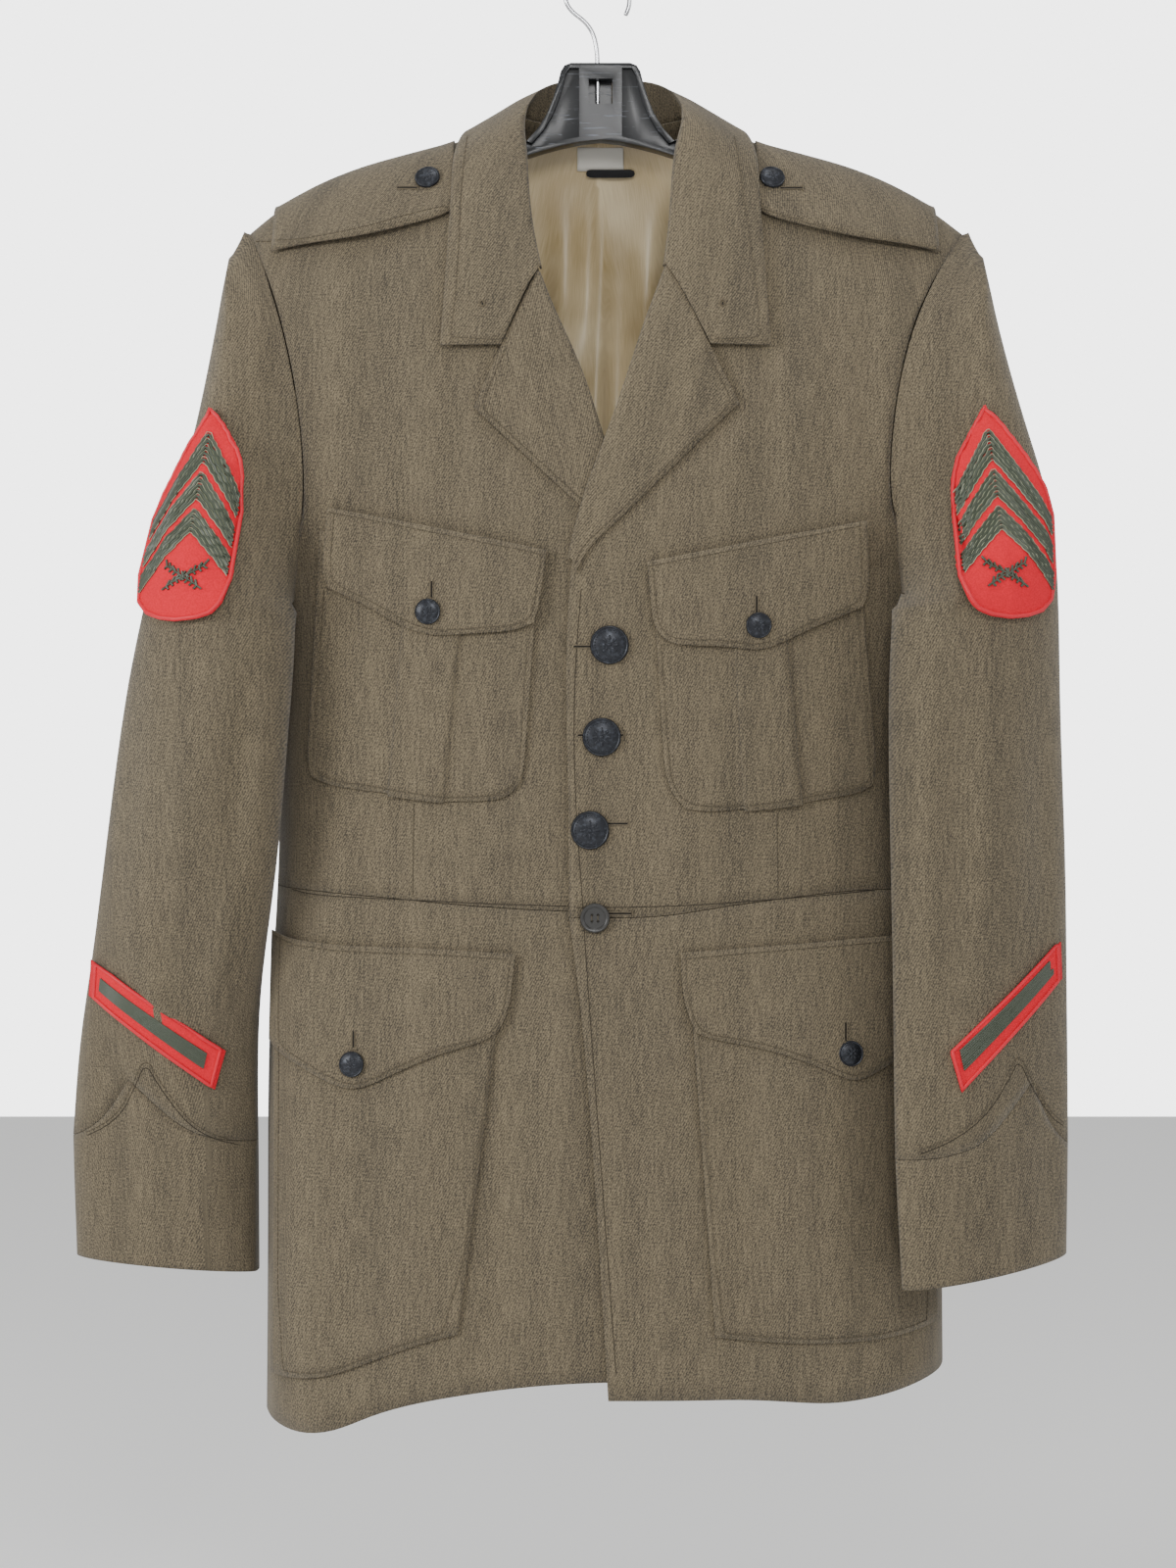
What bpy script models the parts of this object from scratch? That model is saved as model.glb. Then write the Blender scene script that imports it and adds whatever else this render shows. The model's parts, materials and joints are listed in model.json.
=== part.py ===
"""A service coat hanging on a moulded hanger, built from its cut pieces.

All sizes are in millimetres and are turned to metres when a mesh is made. X runs to the
picture's right, -Y faces the viewer and Z is up. The origin is the inner top of the hook,
where the rail carries it. Left and right are the picture's left and right.
"""

import bisect
import functools
import math

import bmesh
import bpy
import numpy as np
from mathutils import Matrix, Vector
from mathutils.bvhtree import BVHTree

MM = 0.001
LEFT = -1
RIGHT = 1
SIDES = {"left": LEFT, "right": RIGHT}
FRONT = -1
BACK = 1

# The cloth and the gaps between its layers
CLOTH = 1.5
TRIM = 1.2
SEAM_GAP = 0.4
SIDE_GAP = 1.4
LAYER_GAP = 0.9
OVERLAP_LIFT = 4.2

# The body of the coat: its middle line, chest level and shoulder seam
AXIS_X = 5.0
CHEST_Z = -330.0
ARMPIT_Z = -412.0
TIP_Z = -179.0
SECTION_POWER = 2.6
LOW_SCALE = 200.0

# The front buttons: line 40 is 25.4 mm across and line 27 is 17 mm
BIG_BUTTON = 25.4
SMALL_BUTTON = 17.0
PLAIN_BUTTON = 19.5

# The hook wire
WIRE = 3.4
HOOK_INNER = 20.0


class Table:
    """A short table with named columns, read between its rows along a smooth curve."""

    def __init__(self, columns, *rows):
        self.names = columns.split()
        self.rows = np.array(sorted(rows), float)
        self.keys = self.rows[:, 0].tolist()
        self.values = {name: self.rows[:, i].tolist() for i, name in enumerate(self.names)}
        self.slopes = {name: slopes(self.keys, self.values[name]) for name in self.names[1:]}

    def at(self, key, name):
        """The value of a column where the first column is key, held at both ends."""
        keys, values, tangent = self.keys, self.values[name], self.slopes[name]
        key = min(max(key, keys[0]), keys[-1])
        i = min(bisect.bisect_right(keys, key) - 1, len(keys) - 2)
        step = keys[i + 1] - keys[i]
        u = (key - keys[i]) / step
        return (
            values[i] * (1 + 2 * u) * (1 - u) ** 2
            + values[i + 1] * u * u * (3 - 2 * u)
            + tangent[i] * step * u * (1 - u) ** 2
            - tangent[i + 1] * step * u * u * (1 - u)
        )


def slopes(xs, ys):
    """The slope at each point of a curve that doesn't pass its highest or lowest points."""
    between = [(b - a) / (d - c) for a, b, c, d in zip(ys, ys[1:], xs, xs[1:])]
    inner = [2 * a * b / (a + b) if a * b > 0 else 0.0 for a, b in zip(between, between[1:])]
    return [between[0], *inner, between[-1]]


def eased(value, low, high):
    """0 below low, 1 above high, with a soft start and end between them."""
    u = min(max((value - low) / (high - low), 0.0), 1.0)
    return u * u * (3 - 2 * u)


# Half width and front and back depth of the body at each height
TORSO = Table(
    "z half_width front back",
    (-1000, 230, 84, 66),
    (-860, 229, 80, 62),
    (-760, 229, 76, 58),
    (-690, 227, 72, 54),
    (-640, 223, 68, 48),
    (-600, 221, 67, 46),
    (-500, 222, 70, 50),
    (-412, 225, 73, 55),
    (-372, 236, 73, 57),
    (-330, 246, 72, 58),
    (-250, 258, 70, 58),
    (-180, 264, 68, 56),
)

# Height of the shoulder seam across the body, either side of the middle line
SHOULDER = Table(
    "across z",
    (0, -72),
    (30, -84),
    (60, -98),
    (80, -107),
    (104, -119),
    (139, -128),
    (167, -136),
    (187, -144),
    (203, -152),
    (217, -160),
    (228, -168),
    (241, -179),
    (243, -179.5),
    (262, -200),
)

# Where the armhole seam runs, from the middle line, on each side
ARMHOLE = Table(
    "z left right",
    (-412, 225, 225),
    (-408, 217, 217),
    (-398, 208, 204),
    (-380, 201, 191),
    (-346, 200, 188),
    (-317, 202, 190),
    (-289, 206, 194),
    (-256, 213, 202),
    (-220, 224, 217),
    (-202, 231, 228),
    (-179, 241, 243),
)

# The edge of the front that buttons over, and the edge under it
FRONT_EDGE = Table(
    "z over under",
    (-960, 7, 54),
    (-910, 4, 51),
    (-846, 0, 48),
    (-770, -5, 42),
    (-707, -10.5, 37),
    (-661, -15.5, 32),
    (-638, -19, 28),
    (-590, -19, 27),
    (-553, -19.5, 27),
    (-489, -21, 26),
    (-427, -20.7, 25),
)

# The fold line of each lapel, from the shoulder at the neck down to the top button
ROLL_LINE = Table(
    "z left right",
    (-427, 25, -20.7),
    (-374, 14, -9.8),
    (-332, 4, 5),
    (-292, -8, 19.5),
    (-262, -21, 29),
    (-246, -28, 34),
    (-205, -43, 48.5),
    (-161, -49.5, 52),
    (-120, -52, 56),
    (-98, -56, 66),
)

# Height of the waist seam and of the hem across the coat
WAIST = Table("x left right", (-225, -621, -621), (-180, -625, -621), (-130, -629, -621), (-75, -634, -630),
              (-12, -637, -641), (30, -638, -641), (95, -640, -632), (190, -640, -623), (235, -640, -623))
HEM_LEFT = Table(
    "x z",
    (-225, -976),
    (-205, -984),
    (-188, -985),
    (-172, -980),
    (-156, -971),
    (-140, -964),
    (-107, -956),
    (-58, -948),
    (-10, -944),
    (60, -943),
)
HEM_RIGHT = Table(
    "x z",
    (0, -955),
    (88, -955),
    (120, -957),
    (153, -960),
    (185, -957),
    (215, -950),
    (235, -944),
)
HEM_BACK = Table("x z", (-225, -972), (-150, -966), (0, -962), (150, -958), (235, -946))

# The back neck seam, from the middle line
BACK_NECK = Table("across z", (0, -106), (30, -105), (50, -101), (61, -98.4))


def shoulder_z(x):
    """Height of the shoulder seam at x."""
    return SHOULDER.at(abs(x - AXIS_X), "z")


def wrap_of(x, z):
    """Where height z lies on the body: 0 at the chest, a quarter turn at the shoulder."""
    if z >= CHEST_Z:
        share = (z - CHEST_Z) / (shoulder_z(x) - CHEST_Z)
        return math.asin(min(share, 1.0))
    return (z - CHEST_Z) / LOW_SCALE


def body_at(x, wrap, face):
    """The point of the front or back at x, where wrap gives the height."""
    if wrap >= 0:
        z = CHEST_Z + math.sin(wrap) * (shoulder_z(x) - CHEST_Z)
        cap = math.cos(wrap)
    else:
        z = CHEST_Z + wrap * LOW_SCALE
        cap = 1.0
    half = TORSO.at(z, "half_width")
    deep = TORSO.at(z, "front" if face == FRONT else "back")
    across = min(abs(x - AXIS_X) / half, 1.0)
    y = deep * (1 - across**SECTION_POWER) ** (1 / SECTION_POWER) * cap
    return Vector((x, face * y, z))


def unit_out(x, wrap, face):
    """The direction straight out of the cloth there."""
    reach = TORSO.at(body_at(x, wrap, face).z, "half_width") - 1.5
    x = AXIS_X + min(max(x - AXIS_X, -reach), reach)
    along = body_at(x + 1, wrap, face) - body_at(x - 1, wrap, face)
    up = body_at(x, min(wrap + 0.01, math.pi / 2), face) - body_at(x, wrap - 0.01, face)
    return (along.cross(up) * -face).normalized()


def lay(x, z, lift, face=FRONT):
    """A point over the body at x and z, moved out by lift."""
    wrap = wrap_of(x, z)
    return body_at(x, wrap, face) + unit_out(x, wrap, face) * lift


def overlap_lift(x):
    """How far the buttoned-over front stands off the one below it."""
    return OVERLAP_LIFT * (1 - eased(x, 58, 100))


def front_lift(side, x):
    """The outer face of the front on this side, over the body's own shape."""
    return overlap_lift(x) if side == RIGHT else 0.0


def spaced(points, count, trim_start=0.0, trim_end=0.0):
    """Count points at equal steps along a line of points, with its ends cut back."""
    points = np.array([tuple(p) for p in points])
    run = np.concatenate([[0], np.cumsum(np.linalg.norm(np.diff(points, axis=0), axis=1))])
    wanted = np.linspace(trim_start, run[-1] - trim_end, count)
    return [Vector([np.interp(s, run, points[:, k]) for k in range(3)]) for s in wanted]


def level_line(side, face, height, x_in, x_out=None, steps=72):
    """Points round the body from x_in to x_out, or to the side seam, at the height for each x."""

    def turn_of(x):
        across = side * (x - AXIS_X) / TORSO.at(height(x), "half_width")
        return math.copysign(math.asin(min(abs(across), 1.0) ** (SECTION_POWER / 2)), across)

    last = math.pi / 2 if x_out is None else turn_of(x_out)
    line = []
    for turn in np.linspace(turn_of(x_in), last, steps):
        across = math.copysign(abs(math.sin(turn)) ** (2 / SECTION_POWER), turn)
        x = AXIS_X + side * across * TORSO.at(height(x_in), "half_width")
        z = height(x)
        x = AXIS_X + side * across * TORSO.at(z, "half_width")
        deep = TORSO.at(z, "front" if face == FRONT else "back")
        line.append(Vector((x, face * deep * math.cos(turn) ** (2 / SECTION_POWER), z)))
    return line


def solve(start, step, rounds=24):
    """The value that step leaves unchanged, from a start near it."""
    for _ in range(rounds):
        start = 0.5 * (start + step(start))
    return start


# Heights at which the armhole seam is joined, from the shoulder down to the armpit
ARMHOLE_STEPS = (-179, -182, -192, -208, -230, -258, -290, -322, -350, -376, -396, -407.5, -412)


def armhole_x(side, z):
    """The armhole seam at a height on this side."""
    return AXIS_X + side * ARMHOLE.at(z, "left" if side == LEFT else "right")


def inner_x(side, z):
    """The free edge of the front: its fold line above the top button, its edge below."""
    if z > -427:
        return ROLL_LINE.at(z, "left" if side == LEFT else "right")
    return FRONT_EDGE.at(z, "under" if side == LEFT else "over")


def upper_rows(side, face, inner, count):
    """Rows of a front or back from the shoulder to the armpit, where inner gives the free edge."""
    rows = []
    for step, z_out in enumerate(ARMHOLE_STEPS):
        x_out = armhole_x(side, z_out)
        wrap = wrap_of(x_out, z_out) if step else math.pi / 2 - SIDE_GAP / 80
        if wrap > 0:
            x_in = inner(wrap)
            line = [body_at(x, wrap, face) for x in np.linspace(x_in, x_out, 72)]
        else:
            x_end = x_out if z_out > ARMPIT_Z else None
            line = level_line(side, face, lambda x, z=z_out: z, inner(wrap), x_end)
        end = SIDE_GAP / 2 if z_out == ARMPIT_Z else SEAM_GAP
        start = SEAM_GAP / 2 if face == BACK else 0.0
        rows.append(spaced(line, count, start, end))
    return rows


def lower_rows(side, face, top, bottom, inner, count, levels, first=0):
    """Rows between two heights that change with x, leaving out the first ones if they exist."""
    rows = []
    for share in np.linspace(0, 1, levels)[first:]:

        def height(x, share=share):
            return top(x) + (bottom(x) - top(x)) * share

        x_in = solve(AXIS_X, lambda x: inner(height(x)))
        start = SEAM_GAP / 2 if face == BACK else 0.0
        rows.append(spaced(level_line(side, face, height, x_in), count, start, SIDE_GAP / 2))
    return rows


def waist_z(side, x):
    """Height of the waist seam on this side."""
    return WAIST.at(x, "left" if side == LEFT else "right")


def hem_z(side, face, x):
    """Height of the hem at x."""
    if face == BACK:
        return HEM_BACK.at(x, "z")
    return (HEM_LEFT if side == LEFT else HEM_RIGHT).at(x, "z")


def lifted(side, rows):
    """Rows of a front moved out where it buttons over the other one."""
    if side == LEFT:
        return rows
    return [[p + out_at(p) * overlap_lift(p.x) for p in row] for row in rows]


def out_at(point, face=FRONT):
    """The direction straight out of the body at a point of it."""
    return unit_out(point.x, wrap_of(point.x, point.z), face)


def material(name, colour, roughness, metallic=0.0):
    """A plain finish."""
    made = bpy.data.materials.get(name) or bpy.data.materials.new(name)
    made.use_nodes = True
    shader = made.node_tree.nodes["Principled BSDF"]
    shader.inputs["Base Color"].default_value = (*colour, 1)
    shader.inputs["Roughness"].default_value = roughness
    shader.inputs["Metallic"].default_value = metallic
    return made


# Linear colours, roughness and metallic value of each finish
FINISHES = {
    "wool": ((0.165, 0.135, 0.085), 0.9, 0.0),
    "satin": ((0.36, 0.30, 0.18), 0.45, 0.0),
    "label_cloth": ((0.75, 0.73, 0.68), 0.8, 0.0),
    "black_tape": ((0.02, 0.02, 0.022), 0.85, 0.0),
    "badge_cloth": ((0.72, 0.02, 0.045), 0.85, 0.0),
    "button_metal": ((0.03, 0.032, 0.036), 0.4, 0.6),
    "button_plastic": ((0.035, 0.037, 0.04), 0.35, 0.0),
    "hanger_plastic": ((0.012, 0.013, 0.015), 0.3, 0.0),
    "chrome": ((0.6, 0.6, 0.62), 0.15, 1.0),
}


def finish(obj, name):
    """Give an object its finish and smooth shading."""
    colour, roughness, metallic = FINISHES[name]
    obj.data.materials.append(material(name, colour, roughness, metallic))
    obj.data.shade_smooth()
    obj.data.set_sharp_from_angle(angle=math.radians(40))
    return obj


def object_from(name, mesh):
    """Turn a bmesh into a named object in metres."""
    data = bpy.data.meshes.new(name)
    bmesh.ops.scale(mesh, vec=(MM, MM, MM), verts=mesh.verts)
    mesh.to_mesh(data)
    mesh.free()
    obj = bpy.data.objects.new(name, data)
    bpy.context.scene.collection.objects.link(obj)
    return obj


def cloth(name, rows, wall, look, outward, closed=False):
    """A wall of cloth behind a grid of points of its outer face.

    outward is a direction that the face at the middle of the grid looks towards, or a
    quarter of the way round a closed grid, which joins its last column to its first.
    """
    mesh = bmesh.new()
    grid = [[mesh.verts.new(p) for p in row] for row in rows]
    columns = len(rows[0])
    for upper, lower in zip(grid, grid[1:]):
        for i in range(columns if closed else columns - 1):
            k = (i + 1) % columns
            mesh.faces.new((upper[i], lower[i], lower[k], upper[k]))
    mesh.normal_update()
    mesh.faces.ensure_lookup_table()
    middle_row = len(rows) // 2 - 1
    if closed:
        middle = mesh.faces[middle_row * columns + columns // 4]
    else:
        middle = mesh.faces[middle_row * (columns - 1) + columns // 2 - 1]
    if middle.normal.dot(outward) < 0:
        bmesh.ops.reverse_faces(mesh, faces=mesh.faces)
    obj = object_from(name, mesh)
    solidify = obj.modifiers.new("Wall", "SOLIDIFY")
    solidify.thickness = wall * MM
    solidify.offset = -1
    solidify.use_quality_normals = True
    return finish(obj, look)


TOWARDS_VIEWER = Vector((0, -1, 0))
AWAY = Vector((0, 1, 0))


def front_upper(name, side):
    """A front from the shoulder to the waist seam."""

    def inner(wrap):
        return solve(AXIS_X + side * 40, lambda x: inner_x(side, body_at(x, wrap, FRONT).z))

    rows = upper_rows(side, FRONT, inner, 12)
    rows += lower_rows(
        side,
        FRONT,
        lambda x: ARMPIT_Z,
        lambda x: waist_z(side, x) + SEAM_GAP / 2,
        lambda z: inner_x(side, z),
        12,
        6,
        first=1,
    )
    return cloth(name, lifted(side, rows), CLOTH, "wool", TOWARDS_VIEWER)


def front_skirt(name, side):
    """A front from the waist seam to the hem."""
    rows = lower_rows(
        side,
        FRONT,
        lambda x: waist_z(side, x) - SEAM_GAP / 2,
        lambda x: hem_z(side, FRONT, x),
        lambda z: inner_x(side, z),
        12,
        7,
    )
    return cloth(name, lifted(side, rows), CLOTH, "wool", TOWARDS_VIEWER)


def back_panel(name, side):
    """Half of the back, from the shoulder to the hem."""

    def inner(wrap):
        if body_at(AXIS_X, wrap, BACK).z <= BACK_NECK.at(0, "z") + 0.5:
            return AXIS_X
        spots = np.linspace(0, 61, 123)
        misses = [abs(body_at(AXIS_X + side * s, wrap, BACK).z - BACK_NECK.at(s, "z")) for s in spots]
        return AXIS_X + side * spots[int(np.argmin(misses))]

    rows = upper_rows(side, BACK, inner, 9)
    rows += lower_rows(
        side,
        BACK,
        lambda x: ARMPIT_Z,
        lambda x: hem_z(side, BACK, x),
        lambda z: AXIS_X,
        9,
        10,
        first=1,
    )
    return cloth(name, rows, CLOTH, "wool", AWAY)


# Sections across each sleeve, from the armhole down: the middle (out from the coat's middle
# line, forward and up), the half sizes, how steeply the section leans up to its outer side
# and how far it is turned so that its inner side comes forward
SLEEVE_SECTIONS = {
    LEFT: Table(
        "ring out y z half_wide half_deep lean turn",
        (2, 243, -4, -306, 110.5, 60, 83.8, 0),
        (3, 245, -8, -330, 91.5, 62, 79.9, 2),
        (4, 248, -15, -362, 66, 62, 69.6, 6),
        (5, 249, -33, -391, 50, 60, 52.0, 17),
        (6, 252, -50, -426, 49, 54, 17.8, 28),
        (7, 266, -50, -515, 59.5, 46, 5.0, 26),
        (8, 277, -38, -610, 62, 42, 3.0, 20),
        (9, 289, -16, -680, 59.5, 38, 3.0, 10),
        (10, 297, 0, -765, 65, 33, 4.0, 3),
        (11, 295, 3, -878, 65, 29, 4.8, 0),
    ),
    RIGHT: Table(
        "ring out y z half_wide half_deep lean turn",
        (2, 241, -6, -306, 111, 60, 82.2, 0),
        (3, 243, -12, -330, 92, 62, 77.5, 3),
        (4, 247, -22, -362, 69, 62, 64.2, 8),
        (5, 248, -46, -391, 56.5, 56, 43.6, 20),
        (6, 243, -70, -428, 59.5, 46, 12.0, 28),
        (7, 243, -66, -520, 64, 38, 4.0, 27),
        (8, 246, -66, -610, 67, 33, 4.0, 28),
        (9, 247, -66, -690, 67, 30, 4.0, 28),
        (10, 248, -66, -780, 68, 26, 5.0, 28),
        (11, 250, -64, -873, 65, 24, 7.3, 28),
    ),
}
LAST_RING = 11
ARMHOLE_MIDDLE = (TIP_Z + ARMPIT_Z) / 2
ARMHOLE_HALF = (TIP_Z - ARMPIT_Z) / 2
HEAD_STEP = 6.0

# How far the sleeve's outer face keeps from the body below the armpit, and over its pockets
SLEEVE_CLEARANCE = Table(
    "z left right",
    (-1000, 7, 9),
    (-650, 7, 9),
    (-610, 4, 8),
    (-480, 4, 7),
    (-440, 5, 6),
    (-418, 5, 5),
    (-408, 1.5, 2.5),
)
SEAM_CLEARANCE = 2.5

# The cuff seam: its low level, its peak and how quickly it falls from the peak
CUFF_LOW = {LEFT: -795.0, RIGHT: -797.0}
CUFF_PEAK = {LEFT: -741.0, RIGHT: -736.0}
CUFF_PEAK_TURN = math.radians(75)
CUFF_FALL = 20.0


@functools.lru_cache(maxsize=None)
def sleeve_section(side, ring, turn):
    """The point of one section at a turn round it: 0 is outermost, a quarter turn is in front."""
    if ring <= 1:
        z = ARMHOLE_MIDDLE + ARMHOLE_HALF * math.cos(turn)
        face = FRONT if turn % (2 * math.pi) <= math.pi else BACK
        x = armhole_x(side, z)
        point = body_at(x, wrap_of(x, min(z, shoulder_z(x))), face)
        if ring == 0:
            return point + Vector((side * SEAM_GAP, 0, 0))
        spread = Vector((0, point.y, point.z - ARMHOLE_MIDDLE)).normalized() * (0.5 + math.cos(turn))
        return point + Vector((side * HEAD_STEP, 0, 0)) + spread
    row = SLEEVE_SECTIONS[side].rows[int(ring) - 2]
    _, out, y, z, half_wide, half_deep, lean, swing = row
    lean, swing = math.radians(lean), math.radians(swing)
    wide = Vector((side * math.cos(swing) * math.cos(lean), math.sin(swing) * math.cos(lean), math.sin(lean)))
    deep = Vector((side * math.sin(swing), -math.cos(swing), 0))
    middle = Vector((AXIS_X + side * out, y, z))
    return middle + wide * half_wide * math.cos(turn) + deep * half_deep * math.sin(turn)


def sleeve_at(side, level, turn):
    """The sleeve's outer face at a level between its sections and a turn round it."""
    level = min(max(level, 0.0), LAST_RING)
    k = min(int(level), LAST_RING - 1)
    u = level - k
    p = [sleeve_section(side, min(max(k + d, 0), LAST_RING), turn) for d in (-1, 0, 1, 2)]
    start, end = (p[2] - p[0]) / 2, (p[3] - p[1]) / 2
    point = (
        p[1] * (1 + 2 * u) * (1 - u) ** 2
        + p[2] * u * u * (3 - 2 * u)
        + start * u * (1 - u) ** 2
        - end * u * u * (1 - u)
    )
    return pressed(side, point) if level > 1 else point


def pressed(side, point):
    """A sleeve point pushed out of the body's side where the sleeve hangs against it."""
    if point.z > ARMPIT_Z + 4:
        edge = armhole_x(side, min(point.z, TIP_Z)) + side * SEAM_CLEARANCE
        behind = body_at(edge, wrap_of(edge, min(point.z, TIP_Z)), FRONT).y - SEAM_CLEARANCE
        if point.z < CHEST_Z and side * (edge - point.x) > 0 and behind < point.y:
            return Vector((edge, point.y, point.z))
        return point
    clear = SLEEVE_CLEARANCE.at(point.z, "left" if side == LEFT else "right")
    half = TORSO.at(point.z, "half_width") + clear
    deep = TORSO.at(point.z, "front" if point.y < 0 else "back") + clear
    across = point.x - AXIS_X
    reach = (abs(across) / half) ** SECTION_POWER + (abs(point.y) / deep) ** SECTION_POWER
    grow = max(reach, 1e-6) ** (-1 / SECTION_POWER) if reach < 1 else 1.0
    return Vector((AXIS_X + across * grow, point.y * grow, point.z))


def sleeve_level(side, z, turn):
    """The level at which the sleeve passes height z on this turn."""
    low, high = 0.0, float(LAST_RING)
    for _ in range(22):
        middle = (low + high) / 2
        if sleeve_at(side, middle, turn).z > z:
            low = middle
        else:
            high = middle
    return (low + high) / 2


def cuff_seam_z(side, turn):
    """Height of the cuff seam on this turn."""
    peak = sleeve_at(side, 9.7, CUFF_PEAK_TURN)
    away = (sleeve_at(side, 9.7, turn) - peak).length
    return CUFF_LOW[side] + (CUFF_PEAK[side] - CUFF_LOW[side]) * math.exp(-away / CUFF_FALL)


RING_TURNS = [math.acos((z - ARMHOLE_MIDDLE) / ARMHOLE_HALF) for z in ARMHOLE_STEPS]
RING_TURNS += [2 * math.pi - turn for turn in RING_TURNS[-2:0:-1]]
SLEEVE_LEVELS = (0, 1, 2, 3, 4, 4.5, 5, 5.5, 6, 6.5, 7, 8, 9)
CUFF_LEVELS = 4


def sleeve(name, side):
    """A sleeve from the armhole to the cuff seam."""
    rows = [[sleeve_at(side, level, turn) for turn in RING_TURNS] for level in SLEEVE_LEVELS]
    ends = [sleeve_level(side, cuff_seam_z(side, turn) + SEAM_GAP / 2, turn) for turn in RING_TURNS]
    last = SLEEVE_LEVELS[-1]
    for share in (0.5, 1.0):
        rows.append(
            [sleeve_at(side, last + (end - last) * share, turn) for end, turn in zip(ends, RING_TURNS)]
        )
    return cloth(name, rows, CLOTH, "wool", TOWARDS_VIEWER, closed=True)


def cuff(name, side):
    """The cuff below its peaked seam."""
    starts = [sleeve_level(side, cuff_seam_z(side, turn) - SEAM_GAP / 2, turn) for turn in RING_TURNS]
    rows = []
    for share in np.linspace(0, 1, CUFF_LEVELS + 1):
        rows.append(
            [
                sleeve_at(side, start + (LAST_RING - start) * share, turn)
                for start, turn in zip(starts, RING_TURNS)
            ]
        )
    return cloth(name, rows, CLOTH, "wool", TOWARDS_VIEWER, closed=True)


# Patch pockets and flaps, column by column from the picture's left: the ends of each column
# and how far the cloth stands up along it
CHEST_POCKET_LEFT = (
    ("x_top", "z_top", "x_low", "z_low", "raise"),
    (-183, -385, -192.8, -538, 0),
    (-180, -386, -189.5, -548, 0),
    (-168, -388, -176.5, -554.3, 0),
    (-146, -392, -158, -556.6, 0),
    (-123.6, -397, -138.4, -559, 0),
    (-123, -397, -137.8, -561, 1.5),
    (-104, -400, -119.5, -563.5, 1.5),
    (-86.5, -404, -102, -565.5, 1.5),
    (-86, -404, -101.4, -564.2, 0),
    (-68, -408, -72, -564.6, 0),
    (-52, -411, -60, -562, 0),
    (-42, -413, -50.5, -553, 0),
    (-39, -414, -48.6, -543, 0),
)
CHEST_POCKET_RIGHT = (
    ("x_top", "z_top", "x_low", "z_low", "raise"),
    (36, -420, 43.6, -545, 0),
    (39, -419, 48, -559, 0),
    (49, -417, 57, -569, 0),
    (66, -414, 76, -571.7, 0),
    (86, -410, 95.8, -569, 0),
    (86.6, -410, 96.4, -571, 1.5),
    (102, -406, 115, -569.5, 1.5),
    (118, -403, 134, -567, 1.5),
    (118.6, -403, 134.6, -565.3, 0),
    (140, -398, 155, -561.8, 0),
    (156, -395, 172, -559.5, 0),
    (168, -392, 181, -554, 0),
    (171, -391, 184.5, -544, 0),
)
CHEST_FLAP_LEFT = (
    ("x_top", "z_top", "x_low", "z_low", "raise"),
    (-176.8, -370.4, -180.6, -414, 0),
    (-171.5, -371.5, -176.5, -423, 0),
    (-155, -374.7, -159, -431.4, 0),
    (-140.6, -377.6, -142.7, -440, 0),
    (-127, -380.3, -129, -448.5, 0),
    (-114, -383, -114, -454.5, 0),
    (-101, -385.6, -101, -455.6, 0),
    (-84, -389.3, -84.3, -454, 0),
    (-68, -392.6, -68.2, -453.4, 0),
    (-51, -396.3, -51.5, -452, 0),
    (-39.5, -398.8, -42, -447, 0),
    (-33.5, -400, -38.6, -437, 0),
)
CHEST_FLAP_RIGHT = (
    ("x_top", "z_top", "x_low", "z_low", "raise"),
    (32, -407.9, 35.4, -445, 0),
    (37, -406.9, 39, -454, 0),
    (46.5, -405, 46.5, -460.5, 0),
    (59, -402.5, 59, -462.3, 0),
    (76, -399, 76, -461.8, 0),
    (92, -395.7, 92, -463.8, 0),
    (104, -393.2, 103.5, -465, 0),
    (112, -391.6, 112, -463.5, 0),
    (125, -389, 125, -457.7, 0),
    (142, -386, 142, -449.2, 0),
    (158, -382.8, 158.5, -442.5, 0),
    (171, -380, 173, -436, 0),
    (175.9, -379.1, 177.4, -427, 0),
)
SKIRT_POCKET_LEFT = (
    ("x_top", "z_top", "x_low", "z_low", "raise"),
    (-216, -676, -217, -946, 0),
    (-207, -677, -209, -947.3, 0),
    (-192, -678, -197, -947, 0),
    (-170, -679, -179, -944.5, 0),
    (-140, -680, -155, -935.3, 0),
    (-105, -681, -122, -921.1, 0),
    (-75, -681, -100, -914.6, 0),
    (-62.5, -681, -91.6, -912.8, 0),
)
SKIRT_POCKET_RIGHT = (
    ("x_top", "z_top", "x_low", "z_low", "raise"),
    (60, -681, 76.6, -913.7, 0),
    (72, -681, 90, -916, 0),
    (100, -680, 119.7, -918.9, 0),
    (130, -679, 145.7, -920.3, 0),
    (165, -678, 184.6, -919.8, 0),
    (191, -677, 206, -916.5, 0),
    (207, -676, 219, -913, 0),
    (216, -675, 227, -911, 0),
)
SKIRT_FLAP_LEFT = (
    ("x_top", "z_top", "x_low", "z_low", "raise"),
    (-215.6, -651.3, -217, -724, 0),
    (-211, -653.5, -213.5, -729, 0),
    (-202, -656.9, -207, -734.5, 0),
    (-186, -658.5, -187.6, -744.5, 0),
    (-171, -660, -171.5, -752.9, 0),
    (-158, -660.3, -158.2, -754.6, 0),
    (-145.7, -660.7, -145.7, -749.6, 0),
    (-130, -661, -130, -741.6, 0),
    (-104.4, -661.9, -104.2, -729.8, 0),
    (-79, -663.4, -79, -723.8, 0),
    (-63, -664.3, -66.2, -717.4, 0),
    (-56.5, -664.7, -60.3, -707, 0),
    (-54.1, -664.9, -57.3, -694, 0),
)
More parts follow.
